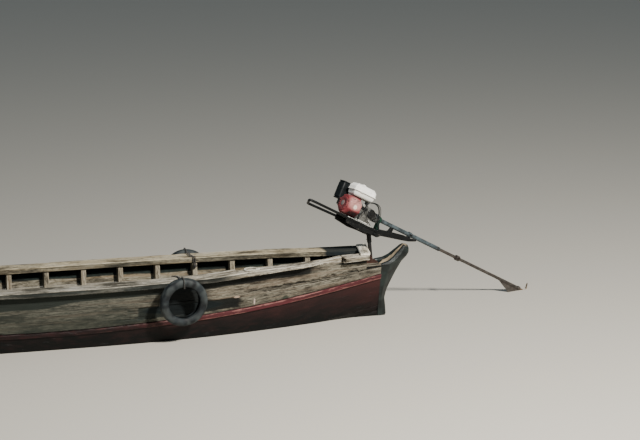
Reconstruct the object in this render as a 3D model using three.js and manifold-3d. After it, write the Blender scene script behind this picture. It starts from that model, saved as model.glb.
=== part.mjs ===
// Wooden river boat with a long-tail motor, planked on ribs and shown afloat.
// Millimetres. +X is forward, +Y is port, +Z is up, and the origin lies on the water at mid length.
import * as THREE from 'three';
import { mergeVertices } from 'three/addons/utils/BufferGeometryUtils.js';
import Module from 'manifold-3d';

const wasm = await Module();
wasm.setup();

// Driving sizes of the hull
const PLANK = 25;
const SEAM_GAP = 0.3;
const RIB_GAP = 0.9;
const BOW_X = 3120;
const STERN_X = -2920;
const RIB_FIRST_X = 2361;
const RIB_SPACING = 333;
const RIB_COUNT = 15;
const RIB_WIDTH = 46;
const RIB_HEAD_DEPTH = 85;
const RIB_SIDE_DEPTH = 62;
const RIB_FLOOR_DEPTH = 75;
const FLOOR_Z = -58;
const FLOOR_TIMBER_DEPTH = 86;
const BOARD_THICK = 45;
const BOARD_OUTBOARD = 55;
const BOARD_INBOARD = 130;
const BATTEN_HEIGHT = 50;
const BATTEN_PROUD = 18;
const STEP_DOWN_Z = 500;
const STEP_DOWN_X = { port: -2775, starboard: -2835 };
const BEAM_FORE_X = -2700;
const BEAM_AFT_X = -2795;

// Driving sizes of the motor, in its own frame: origin on the tilt pin, shaft along X
const POST_BASE = [-2862, 0, STEP_DOWN_Z];
const POST_LEAN = 5;
const PIVOT_HEIGHT = 276;
const SWING_AT_REST = 18;
const TAIL_DOWN_AT_REST = 32.8;
const SHAFT_Z = 143;
const SHAFT_TAIL_X = -1986;
const RAIL_Y = 85;
const RAIL_RADIUS = 12;
const BED_TOP_Z = 37;

const radians = THREE.MathUtils.degToRad;
const boat = new THREE.Group();

// Finishes
function finish(color, roughness, metalness = 0) {
  return new THREE.MeshStandardMaterial({ color, roughness, metalness });
}
const greyWood = finish('#8f8778', 0.85);
const redPaint = finish('#7c2f2b', 0.6);
const darkPaint = finish('#33262a', 0.7);
const bareWood = finish('#c0b49d', 0.8);
const blackGreenWood = finish('#2c3532', 0.75);
const rubber = finish('#1c2026', 0.8);
const rope = finish('#cfcabb', 0.9);
const darkCord = finish('#2b2b2a', 0.9);
const rustySteel = finish('#5c3a2e', 0.8, 0.3);
const blackSteel = finish('#1e1f20', 0.55, 0.4);
const redSteel = finish('#9c2730', 0.4, 0.1);
const whiteSteel = finish('#e4e4de', 0.4, 0.1);
const castAluminium = finish('#a9a69f', 0.5, 0.7);
const blackPlastic = finish('#17191c', 0.6);
const palePaint = finish('#8fb3b5', 0.5, 0.1);
const greenPaint = finish('#2f6e55', 0.5, 0.1);
const tailSteel = finish('#2a2220', 0.65, 0.4);
const bronze = finish('#8a7a55', 0.45, 0.8);

function piece(name, geometry, surface, parent = boat) {
  const mesh = new THREE.Mesh(geometry, surface);
  mesh.name = name;
  parent.add(mesh);
  return mesh;
}

// Closed solids: shared corners merged, triangles of no area dropped
function welded(geometry) {
  const bare = geometry.clone();
  bare.deleteAttribute('normal');
  bare.deleteAttribute('uv');
  const merged = mergeVertices(bare, 1e-3);
  const corners = merged.index.array;
  const kept = [];
  for (let i = 0; i < corners.length; i += 3) {
    const [a, b, c] = corners.slice(i, i + 3);
    if (a !== b && b !== c && c !== a) kept.push(a, b, c);
  }
  merged.setIndex(kept);
  return merged;
}

function toSolid(geometry) {
  const shell = welded(geometry);
  return new wasm.Manifold(new wasm.Mesh({
    numProp: 3,
    vertProperties: new Float32Array(shell.attributes.position.array),
    triVerts: new Uint32Array(shell.index.array),
  }));
}

function fromSolid(solid) {
  const { vertProperties, triVerts } = solid.getMesh();
  const geometry = new THREE.BufferGeometry();
  geometry.setAttribute('position', new THREE.BufferAttribute(vertProperties, 3));
  geometry.setIndex(new THREE.BufferAttribute(triVerts, 1));
  return geometry;
}

function join(...geometries) {
  return fromSolid(geometries.map(toSolid).reduce((whole, part) => whole.add(part)));
}

function cut(geometry, ...cutters) {
  return fromSolid(cutters.map(toSolid).reduce((whole, part) => whole.subtract(part), toSolid(geometry)));
}

// Places a geometry: turned about X, Y, Z in degrees, then moved
function placed(geometry, [x, y, z], [turnX, turnY, turnZ] = [0, 0, 0]) {
  return geometry
    .rotateX(radians(turnX)).rotateY(radians(turnY)).rotateZ(radians(turnZ))
    .translate(x, y, z);
}

// A box between two opposite corners
function box([x0, y0, z0], [x1, y1, z1]) {
  return new THREE.BoxGeometry(x1 - x0, y1 - y0, z1 - z0)
    .translate((x0 + x1) / 2, (y0 + y1) / 2, (z0 + z1) / 2);
}

// A round bar along X, Y or Z through a centre
function roundBar(axis, radius, length, centre, sides = 16) {
  const bar = new THREE.CylinderGeometry(radius, radius, length, sides);
  return placed(bar, centre, { x: [0, 0, -90], y: [0, 0, 0], z: [90, 0, 0] }[axis]);
}

// A turned solid about X: profile rows are [x, radius]
function turnedAboutX(profile, sides, centre = [0, 0, 0]) {
  const points = profile.map(([x, radius]) => new THREE.Vector2(radius, x));
  return placed(new THREE.LatheGeometry(points, sides), centre, [0, 0, -90]);
}

// A flat outline given thickness along Y: outline rows are [x, z]
function plateAlongY(outline, y0, y1) {
  const shape = new THREE.Shape(outline.map(([x, z]) => new THREE.Vector2(x, z)));
  const plate = new THREE.ExtrudeGeometry(shape, { depth: y1 - y0, bevelEnabled: false });
  return plate.rotateX(Math.PI / 2).translate(0, y1, 0);
}

// A flat outline given thickness along X: outline rows are [y, z]
function plateAlongX(outline, x0, x1) {
  const shape = new THREE.Shape(outline.map(([y, z]) => new THREE.Vector2(y, z)));
  const plate = new THREE.ExtrudeGeometry(shape, { depth: x1 - x0, bevelEnabled: false });
  return plate.rotateX(Math.PI / 2).rotateZ(Math.PI / 2).translate(x0, 0, 0);
}

// A round rod or tube along a smooth path
function rodAlong(points, radius, sides, steps, bore = 0) {
  const section = new THREE.Shape().absarc(0, 0, radius, 0, 2 * Math.PI);
  if (bore) section.holes.push(new THREE.Path().absarc(0, 0, bore, 0, 2 * Math.PI, true));
  const path = new THREE.CatmullRomCurve3(points.map((point) => new THREE.Vector3(...point)));
  return new THREE.ExtrudeGeometry(section, {
    steps, curveSegments: sides / 2, bevelEnabled: false, extrudePath: path,
  });
}

// The signed area of a flat ring of [u, v] corners
function ringArea(ring) {
  return ring.reduce((sum, [u, v], i) => {
    const [nextU, nextV] = ring[(i + 1) % ring.length];
    return sum + (u * nextV - nextU * v) / 2;
  }, 0);
}

// A closed skin through rings with equal corner counts; flat() lays a ring's corners in a plane for its cap
function loft(rings, flat = ([, y, z]) => [y, z]) {
  const count = rings[0].length;
  const faces = [];
  for (let i = 0; i + 1 < rings.length; i += 1) {
    for (let k = 0; k < count; k += 1) {
      const a = i * count + k;
      const b = i * count + (k + 1) % count;
      if (a < b) faces.push([a, b, b + count], [a, b + count, a + count]);
      else faces.push([a, b, a + count], [b, b + count, a + count]);
    }
  }
  const cap = (ring) => {
    const outline = ring.map(flat);
    const turn = Math.sign(ringArea(outline));
    return THREE.ShapeUtils.triangulateShape(outline.map((p) => new THREE.Vector2(...p)), [])
      .map(([a, b, c]) => (Math.sign(ringArea([outline[a], outline[b], outline[c]])) === turn
        ? [a, b, c] : [a, c, b]));
  };
  const last = (rings.length - 1) * count;
  cap(rings[0]).forEach(([a, b, c]) => faces.push([a, c, b]));
  cap(rings[rings.length - 1]).forEach(([a, b, c]) => faces.push([last + a, last + b, last + c]));
  const corners = rings.flat();
  const volume = faces.reduce((sum, [a, b, c]) => {
    const [p, q, r] = [a, b, c].map((k) => new THREE.Vector3(...corners[k]));
    return sum + p.dot(q.cross(r)) / 6;
  }, 0);
  const outward = volume > 0 ? faces : faces.map(([a, b, c]) => [a, c, b]);
  const geometry = new THREE.BufferGeometry();
  geometry.setAttribute('position', new THREE.Float32BufferAttribute(corners.flat(), 3));
  geometry.setIndex(outward.flat());
  return geometry;
}

// Hull lines on the outer face of the planking, stern to bow: half-breadth Y and height Z of the
// sheer, the seam between the side planks, the red paint's top, the turn of the bilge, and the keel's Z
//  x      sheerY Z    seamY  Z    redY  Z    bilgeY  Z    keelZ
const HULL_LINES = [
  [-2920, 140, 572,   128, 478,   116, 414,   34, 100,      20],
  [-2400, 214, 563,   180, 412,   158, 322,   96, 10,      -80],
  [-1900, 310, 554,   270, 384,   242, 262,   196, -50,   -126],
  [-1300, 428, 529,   385, 367,   352, 222,   292, -78,   -150],
  [-700,  478, 521,   443, 361,   402, 194,   336, -92,   -160],
  [0,     490, 517,   458, 364,   412, 175,   345, -95,   -163],
  [700,   478, 520,   443, 363,   402, 182,   336, -92,   -160],
  [1300,  425, 534,   385, 368,   352, 214,   296, -80,   -150],
  [1900,  318, 566,   280, 392,   252, 268,   206, -50,   -128],
  [2500,  215, 620,   180, 445,   158, 350,   104, 14,     -80],
  [3120,  128, 700,   116, 585,   104, 505,   34, 180,      60],
];
const hullCurve = new THREE.CubicInterpolant(
  HULL_LINES.map(([x]) => x),
  HULL_LINES.flatMap((row) => row.slice(1)),
  9,
  new Float32Array(9),
);

// Stations: the planking runs straight from one to the next, with a pair at the faces of each rib
const ribStations = Array.from({ length: RIB_COUNT }, (_, i) => RIB_FIRST_X - i * RIB_SPACING);
const END_STATIONS = [STERN_X, STEP_DOWN_X.port, BEAM_FORE_X, -2520, 2560, 2740, 2930, BOW_X];
const stations = [
  ...END_STATIONS, ...ribStations.flatMap((x) => [x - RIB_WIDTH / 2, x + RIB_WIDTH / 2]),
].sort((a, b) => a - b);
const stationsBetween = (from, to) => [
  from, ...stations.filter((x) => x > from + 15 && x < to - 15), to,
];

// Lines that are straight between stations: rowAt gives a list of numbers at a station
function straightBetween(x, rowAt) {
  const next = Math.min(Math.max(stations.findIndex((station) => station >= x), 1), stations.length - 1);
  const [x0, x1] = [stations[next - 1], stations[next]];
  const [row0, row1] = [rowAt(x0), rowAt(x1)];
  return row0.map((value, i) => THREE.MathUtils.mapLinear(x, x0, x1, value, row1[i]));
}

function hullAt(x) {
  const row = straightBetween(x, (station) => Array.from(hullCurve.evaluate(station)));
  const [sheerY, sheerZ, seamY, seamZ, redY, redZ, bilgeY, bilgeZ, keelZ] = row;
  return {
    sheer: [sheerY, sheerZ],
    seam: [seamY, seamZ],
    red: [redY, redZ],
    bilge: [bilgeY, bilgeZ],
    keel: [SEAM_GAP / 2, keelZ],
  };
}

// Where two straight lines in a section cross, each given by a point and a direction
function crossing([py, pz], [dy, dz], [qy, qz], [ey, ez]) {
  const along = ((qy - py) * ez - (qz - pz) * ey) / (dy * ez - dz * ey);
  return [py + along * dy, pz + along * dz];
}

// The planking's corners at a station, set in from its outer face by a depth, from sheer to keel
function stationSection(x, depth) {
  const lines = hullAt(x);
  const outer = [lines.sheer, lines.seam, lines.red, lines.bilge, lines.keel];
  const sides = outer.slice(1).map(([y, z], i) => {
    const direction = [y - outer[i][0], z - outer[i][1]];
    const length = Math.hypot(...direction);
    const inward = [direction[1] / length * depth, -direction[0] / length * depth];
    return { direction, start: [outer[i][0] + inward[0], outer[i][1] + inward[1]] };
  });
  const top = crossing(sides[0].start, sides[0].direction, outer[0], [1, 0]);
  const seams = sides.slice(1).map((side, i) => (
    crossing(sides[i].start, sides[i].direction, side.start, side.direction)
  ));
  const centre = crossing(sides[3].start, sides[3].direction, outer[4], [0, 1]);
  return [top, ...seams, centre];
}

function sectionAt(x, depth) {
  const flatRow = straightBetween(x, (station) => stationSection(station, depth).flat());
  return [0, 2, 4, 6, 8].map((i) => [flatRow[i], flatRow[i + 1]]);
}

const levelCap = ([x, y]) => [x, y];

// One plank between two neighbouring lines of the section, with half a seam's gap at each edge
function strake(side, upper, stationList = stations) {
  const rings = stationList.map((x) => {
    const outer = sectionAt(x, 0);
    const inner = sectionAt(x, PLANK);
    const across = [outer[upper + 1][0] - outer[upper][0], outer[upper + 1][1] - outer[upper][1]];
    const reach = SEAM_GAP / 2 / Math.hypot(...across);
    const shift = ([y, z], sign) => [y + sign * across[0] * reach, z + sign * across[1] * reach];
    return [
      shift(outer[upper], 1), shift(outer[upper + 1], -1),
      shift(inner[upper + 1], -1), shift(inner[upper], 1),
    ].map(([y, z]) => [x, side * y, z]);
  });
  return loft(rings);
}

// Side planking. Aft of the crossbeam the top planks are cut down to the motor step's height.
const SIDES = [['port', 1], ['starboard', -1]];
const sternNotch = (x) => box([STERN_X - 10, -200, STEP_DOWN_Z], [x, 200, 700]);
for (const [sideName, side] of SIDES) {
  piece(`upper_side_${sideName}`, cut(strake(side, 0), sternNotch(STEP_DOWN_X[sideName])), greyWood);
  piece(`bilge_strake_${sideName}`, strake(side, 2), redPaint);
}

// Garboards: one length to port, and two to starboard that meet end to end on a rib
const BUTT_RIB = 7;
const buttX = ribStations[BUTT_RIB];
piece('garboard_port', strake(1, 3), darkPaint);
piece('garboard_starboard_fore', strake(-1, 3, stationsBetween(buttX + SEAM_GAP / 2, BOW_X)), darkPaint);
piece('garboard_starboard_aft', strake(-1, 3, stationsBetween(STERN_X, buttX - SEAM_GAP / 2)), darkPaint);

// The port lower plank has a layer split away over a stretch above its lower edge
const SPLIT = { aft: -1546, fore: -618, top: 352, bottom: 262, depth: 11, taper: 60 };
function splitCutter() {
  const rings = [
    [SPLIT.aft, SPLIT.top, SPLIT.top - 20],
    [SPLIT.aft + SPLIT.taper, SPLIT.top, SPLIT.top - 60],
    [SPLIT.fore - SPLIT.taper, SPLIT.top - 8, SPLIT.bottom - 14],
    [SPLIT.fore, SPLIT.top - 12, SPLIT.bottom - 40],
  ].map(([x, top, bottom]) => {
    const faceY = (z) => {
      const { seam, red } = hullAt(x);
      return red[0] + (seam[0] - red[0]) * (z - red[1]) / (seam[1] - red[1]);
    };
    return [
      [x, faceY(top) - SPLIT.depth, top], [x, faceY(top) + 40, top],
      [x, faceY(bottom) + 40, bottom], [x, faceY(bottom) - SPLIT.depth, bottom],
    ];
  });
  return loft(rings);
}
piece('lower_side_port', cut(strake(1, 1), splitCutter()), greyWood);
piece('lower_side_starboard', strake(-1, 1), greyWood);

// Keel beam, its top cut to the garboards' V
const KEEL_BEAM = { halfWidth: 45, endHalfWidth: 14, below: 42, above: 12 };
function keelRing(x) {
  const { bilge, keel } = hullAt(x);
  const fromEnd = Math.min(x - STERN_X, BOW_X - x);
  const half = THREE.MathUtils.lerp(
    KEEL_BEAM.endHalfWidth, KEEL_BEAM.halfWidth, THREE.MathUtils.smoothstep(fromEnd, 0, 900),
  );
  const edgeZ = keel[1] + half * (bilge[1] - keel[1]) / (bilge[0] - keel[0]);
  return [
    [x, half, edgeZ - 6], [x, 0, keel[1] + KEEL_BEAM.above], [x, -half, edgeZ - 6],
    [x, -half, keel[1] - KEEL_BEAM.below], [x, half, keel[1] - KEEL_BEAM.below],
  ];
}
const garboardSeats = SIDES.map(([, side]) => strake(side, 3).translate(0, 0, -SEAM_GAP));
const keelTopTrim = loft(stations.map((x) => {
  const { keel } = hullAt(x);
  return [[x, -8, keel[1] - 1], [x, 8, keel[1] - 1], [x, 8, keel[1] + 60], [x, -8, keel[1] + 60]];
}));
piece('keel_beam', cut(loft(stations.map(keelRing)), ...garboardSeats, keelTopTrim), darkPaint);

// Rubbing battens along the top of the red paint, their backs cut to the planking
function batten(side) {
  const sink = 6;
  const rings = stations.map((x) => {
    const { red, bilge } = hullAt(x);
    const below = [bilge[0] - red[0], bilge[1] - red[1]];
    const reach = BATTEN_HEIGHT / Math.hypot(...below);
    const [lowY, lowZ] = [red[0] + below[0] * reach, red[1] + below[1] * reach];
    return [
      [red[0] - sink, red[1] - 1], [lowY - sink, lowZ],
      [lowY + BATTEN_PROUD, lowZ + 4], [red[0] + BATTEN_PROUD, red[1] - 5],
    ].map(([y, z]) => [x, side * y, z]);
  });
  return cut(loft(rings), strake(side, 2).translate(0, side * SEAM_GAP, 0));
}
for (const [sideName, side] of SIDES) piece(`rubbing_batten_${sideName}`, batten(side), redPaint);

// Covering boards lie flat on the sheer and on the ribs' heads
const boardEdges = (x) => {
  const [sheerY, sheerZ] = hullAt(x).sheer;
  return {
    outer: sheerY + BOARD_OUTBOARD,
    inner: Math.max(sheerY - BOARD_INBOARD, 12),
    bottom: sheerZ + SEAM_GAP,
    top: sheerZ + BOARD_THICK,
  };
};

// The port board aft: its inboard part has split off, its top is trodden lower over a stretch, and its
// overhang is broken away down to the planking
const PORT_SPLIT = { x: -1530, inboard: 75, step: 1.5 };
const PORT_LOW = { by: 12, stations: [-1740, -1870, -2000], riseStations: [-2360, -2425, -2490] };
const BOARD_BREAK = { taperFore: -2130, taperAft: -2350, aftStart: -2530 };
const BOARD_STERN_X = { port: -2790, starboard: -2842 };
function portLowering(x) {
  const [lowFrom, , lowTo] = PORT_LOW.stations;
  const [riseFrom, , riseTo] = PORT_LOW.riseStations;
  const down = THREE.MathUtils.smoothstep(-x, -lowFrom, -lowTo);
  const up = THREE.MathUtils.smoothstep(-x, -riseFrom, -riseTo);
  return PORT_LOW.by * (down - up);
}

function coveringBoard(side, from, to, outerCut = () => 0, also = []) {
  const places = [...stationsBetween(from, to), ...also.filter((x) => x > from && x < to)];
  const rings = places.sort((a, b) => a - b).map((x) => {
    const edge = boardEdges(x);
    const outer = edge.outer - outerCut(x);
    const split = side > 0 && x < PORT_SPLIT.x ? BOARD_INBOARD - PORT_SPLIT.inboard : 0;
    const inner = edge.inner + split;
    const top = edge.top - (side > 0 ? portLowering(x) : 0);
    return [
      [x, side * outer, edge.bottom], [x, side * outer, top - 4],
      [x, side * (outer - 4), top], [x, side * inner, top],
      [x, side * inner, edge.bottom],
    ];
  });
  return loft(rings);
}
const brokenOverhang = (x) => BOARD_OUTBOARD * THREE.MathUtils.clamp(
  (BOARD_BREAK.taperFore - x) / (BOARD_BREAK.taperFore - BOARD_BREAK.taperAft), 0, 1,
);
piece('covering_board_port', coveringBoard(
  1, BOARD_BREAK.aftStart + SEAM_GAP, BOW_X, brokenOverhang,
  [
    PORT_SPLIT.x, PORT_SPLIT.x - PORT_SPLIT.step, BOARD_BREAK.taperFore, BOARD_BREAK.taperAft,
    ...PORT_LOW.stations, ...PORT_LOW.riseStations,
  ],
), bareWood);
piece('covering_board_port_aft', coveringBoard(1, BOARD_STERN_X.port, BOARD_BREAK.aftStart), bareWood);
piece('covering_board_starboard', coveringBoard(-1, BOARD_STERN_X.starboard, BOW_X), bareWood);

// Ribs: one U-shaped frame each, from sheer to sheer, with a level floor
function floorTop(x) {
  return Math.max(FLOOR_Z, hullAt(x).keel[1] + FLOOR_TIMBER_DEPTH);
}

// Across the rib at one corner of the section: hull side and inboard side, aft and forward face
function ribPairs(x) {
  const [head, seam, side, bilge, keel] = sectionAt(x, PLANK + RIB_GAP);
  const floor = floorTop(x);
  const headDepth = (RIB_HEAD_DEPTH + RIB_SIDE_DEPTH) / 2;
  return [
    [head, [head[0] - RIB_HEAD_DEPTH, head[1]]],
    [seam, [seam[0] - headDepth, seam[1]]],
    [side, [side[0] - RIB_SIDE_DEPTH, side[1]]],
    [bilge, [Math.max(bilge[0] - RIB_FLOOR_DEPTH, 20), floor]],
    [[0, keel[1]], [0, floor]],
  ];
}

function rib(x) {
  const [aft, fore] = [x - RIB_WIDTH / 2, x + RIB_WIDTH / 2];
  const [aftPairs, forePairs] = [ribPairs(aft), ribPairs(fore)];
  const portRings = aftPairs.map(([hullSide, inboard], i) => [
    [aft, ...hullSide], [fore, ...forePairs[i][0]], [fore, ...forePairs[i][1]], [aft, ...inboard],
  ]);
  const starboardRings = portRings.slice(0, -1).reverse()
    .map((ring) => ring.map(([ringX, y, z]) => [ringX, -y, z]));
  const blank = loft([...portRings, ...starboardRings], levelCap);
  return cut(blank, ...SIDES.map(([, side]) => strake(side, 3).translate(0, 0, SEAM_GAP)));
}
ribStations.forEach((x, i) => piece(`rib_${String(i + 1).padStart(2, '0')}`, rib(x), greyWood));

// Floorboards: three planks on the ribs' floors, held together by cleats between the ribs
const FLOOR = { aft: -1330, fore: 1390, plankWidth: 118, plankGap: 10, thick: 18, cleat: [60, 24, 176] };
const floorParts = [-1, 0, 1].map((row) => {
  const y = row * (FLOOR.plankWidth + FLOOR.plankGap);
  return box(
    [FLOOR.aft, y - FLOOR.plankWidth / 2, FLOOR_Z + SEAM_GAP],
    [FLOOR.fore, y + FLOOR.plankWidth / 2, FLOOR_Z + SEAM_GAP + FLOOR.thick],
  );
});
for (const bay of [3, 6, 10]) {
  const x = ribStations[bay] - RIB_SPACING / 2;
  const [width, depth, half] = FLOOR.cleat;
  floorParts.push(box([x - width / 2, -half, FLOOR_Z - depth], [x + width / 2, half, FLOOR_Z + 4]));
}
piece('floorboards', join(...floorParts), greyWood);

// Thwart laid across the covering boards forward
const THWART = { aft: 1960, fore: 2190, thick: 28 };
function thwartRing(x) {
  const edge = boardEdges(x);
  const bottom = boardEdges(THWART.fore).top + SEAM_GAP;
  return [
    [x, edge.outer - 20, bottom], [x, edge.outer - 20, bottom + THWART.thick],
    [x, 20 - edge.outer, bottom + THWART.thick], [x, 20 - edge.outer, bottom],
  ];
}
piece('thwart', loft([thwartRing(THWART.aft), thwartRing(THWART.fore)]), greyWood);

// Aft crossbeam: a board laid askew on the covering boards, with a bite split out of its forward edge
const BEAM = { port: 200, starboard: -152, skew: 65, thick: 22, biteRadius: 52, biteX: 20, biteY: 10 };
const beamBottom = Math.max(boardEdges(BEAM_FORE_X).top, boardEdges(BOARD_STERN_X.starboard).top) + SEAM_GAP;
const beamBlank = loft([[BEAM.port, 0], [BEAM.starboard, BEAM.skew]].map(([y, shift]) => [
  [BEAM_AFT_X - shift, y, beamBottom], [BEAM_FORE_X - shift, y, beamBottom],
  [BEAM_FORE_X - shift, y, beamBottom + BEAM.thick], [BEAM_AFT_X - shift, y, beamBottom + BEAM.thick],
]), ([x, , z]) => [x, z]);
piece('aft_crossbeam', cut(
  beamBlank,
  roundBar('z', BEAM.biteRadius, 100, [BEAM_FORE_X + BEAM.biteX, BEAM.biteY, beamBottom], 10),
), bareWood);

// Motor step: a thick board between the top planks, flush with their cut-down edge
const STEP = { fore: -2640, aft: STERN_X + 2, thick: 36, slack: 0.6 };
function insideHalf(x, z) {
  const inner = sectionAt(x, PLANK);
  const low = inner.findIndex(([, cornerZ]) => cornerZ <= z);
  const [[y0, z0], [y1, z1]] = [inner[low], inner[low - 1]];
  return THREE.MathUtils.mapLinear(z, z0, z1, y0, y1);
}
piece('motor_step', loft([STEP.aft, STEP_DOWN_X.port, BEAM_FORE_X, STEP.fore].map((x) => {
  const topZ = STEP_DOWN_Z - SEAM_GAP;
  const bottomZ = topZ - STEP.thick;
  const topHalf = insideHalf(x, topZ) - STEP.slack;
  const bottomHalf = insideHalf(x, bottomZ) - STEP.slack;
  return [[x, topHalf, topZ], [x, -topHalf, topZ], [x, -bottomHalf, bottomZ], [x, bottomHalf, bottomZ]];
})), greyWood);

// Carved end blocks. Columns: height z, forward-most and aft-most distance from the planks' end, half-widths
//  z     near   far   nearHalf  farHalf
const STERN_BLOCK = [
  [-62,   0,    40,   14,   8],
  [14,    0,    83,   20,   10],
  [89,    0,    77,   34,   14],
  [165,   0,    68,   52,   20],
  [239,   0,    86,   70,   26],
  [320,   0,    124,  90,   34],
  [410,   0,    171,  113,  42],
  [500,   0,    226,  126,  50],
  [520,   82,   246,  102,  52],
  [548,   130,  275,  86,   52],
  [580,   165,  294,  72,   50],
  [612,   203,  295,  60,   46],
  [636,   228,  286,  50,   42],
  [646,   244,  276,  38,   32],
];
const BOW_BLOCK = [
  [18,    0,    30,   14,   8],
  [120,   0,    80,   24,   10],
  [260,   0,    128,  52,   20],
  [400,   0,    178,  80,   28],
  [505,   0,    216,  102,  36],
  [600,   0,    254,  114,  42],
  [700,   0,    298,  124,  48],
  [724,   92,   318,  104,  52],
  [756,   142,  342,  88,   52],
  [788,   180,  352,  74,   50],
  [812,   218,  350,  60,   46],
  [828,   262,  332,  40,   34],
];

// One level section of a block: broad end towards the planks, rounded end away from them
function blockRing([z, near, far, nearHalf, farHalf], endX, away) {
  const length = far - near;
  const corner = Math.min(farHalf, length) * 0.5;
  return [
    [near, -nearHalf], [near + length * 0.35, -nearHalf * 0.94], [far - corner, -farHalf],
    [far - corner * 0.3, -farHalf * 0.72], [far, -farHalf * 0.25], [far, farHalf * 0.25],
    [far - corner * 0.3, farHalf * 0.72], [far - corner, farHalf],
    [near + length * 0.35, nearHalf * 0.94], [near, nearHalf],
  ].map(([along, y]) => [endX + away * (along + SEAM_GAP), y, z]);
}

// The hollow carved into a block's top, from the planks' end up to its head
//  z     near   far   nearHalf  farHalf
const STERN_HOLLOW = [
  [466,   -20,  22,   60,   34],
  [500,   -20,  108,  84,   60],
  [520,   20,   130,  80,   60],
  [548,   60,   156,  68,   54],
  [580,   110,  186,  56,   44],
  [612,   160,  219,  44,   34],
  [660,   200,  256,  32,   24],
];
function carvedBlock(rows, hollowRows, endX, away) {
  const block = loft(rows.map((row) => blockRing(row, endX, away)), levelCap);
  const hollow = loft(hollowRows.map((row) => blockRing(row, endX, away)), levelCap);
  return cut(block, hollow);
}
const BOW_RISE = 199;
const BOW_HOLLOW = STERN_HOLLOW.map(([z, near, far, nearHalf, farHalf]) => (
  [z + BOW_RISE, near, far * 1.08, nearHalf, farHalf]
));
piece('stern_block', carvedBlock(STERN_BLOCK, STERN_HOLLOW, STERN_X, -1), blackGreenWood);
piece('bow_block', carvedBlock(BOW_BLOCK, BOW_HOLLOW, BOW_X, 1), blackGreenWood);

// Fender tyres, hung outside the covering boards with the rope between tyre and board
const TYRE = { outer: 215, inner: 140, halfWidth: 45, ropeRoom: 11, lean: 5 };
const tyreProfile = [
  [-18, TYRE.inner], [-34, TYRE.inner + 6], [-45, TYRE.inner + 38], [-42, TYRE.outer - 22],
  [-30, TYRE.outer - 6], [0, TYRE.outer], [30, TYRE.outer - 6], [42, TYRE.outer - 22],
  [45, TYRE.inner + 38], [34, TYRE.inner + 6], [18, TYRE.inner],
  [24, TYRE.inner + 12], [34, TYRE.inner + 38], [26, TYRE.outer - 18], [0, TYRE.outer - 10],
  [-26, TYRE.outer - 18], [-34, TYRE.inner + 38], [-24, TYRE.inner + 12], [-18, TYRE.inner],
];
const TYRE_SIDES = 28;

// drop is how far the tyre's middle hangs below the board's top
function tyreSeat(x, drop) {
  const edge = boardEdges(x);
  const lean = radians(TYRE.lean);
  const centreZ = edge.top - drop;
  const faceY = edge.outer + TYRE.ropeRoom - (edge.bottom - centreZ) * Math.tan(lean);
  const yaw = Math.atan2(boardEdges(x + 100).outer - boardEdges(x - 100).outer, 200);
  return { lean, centreY: faceY + TYRE.halfWidth / Math.cos(lean), centreZ, yaw };
}

// The tyre's axis starts along Y, leans out at the top and follows the hull's plan
function tyre(x, side, drop) {
  const { lean, centreY, centreZ, yaw } = tyreSeat(x, drop);
  const points = tyreProfile.map(([along, radius]) => new THREE.Vector2(radius, along));
  return new THREE.LatheGeometry(points, TYRE_SIDES)
    .rotateX(-side * lean).rotateZ(side * yaw).translate(x, side * centreY, centreZ);
}

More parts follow.
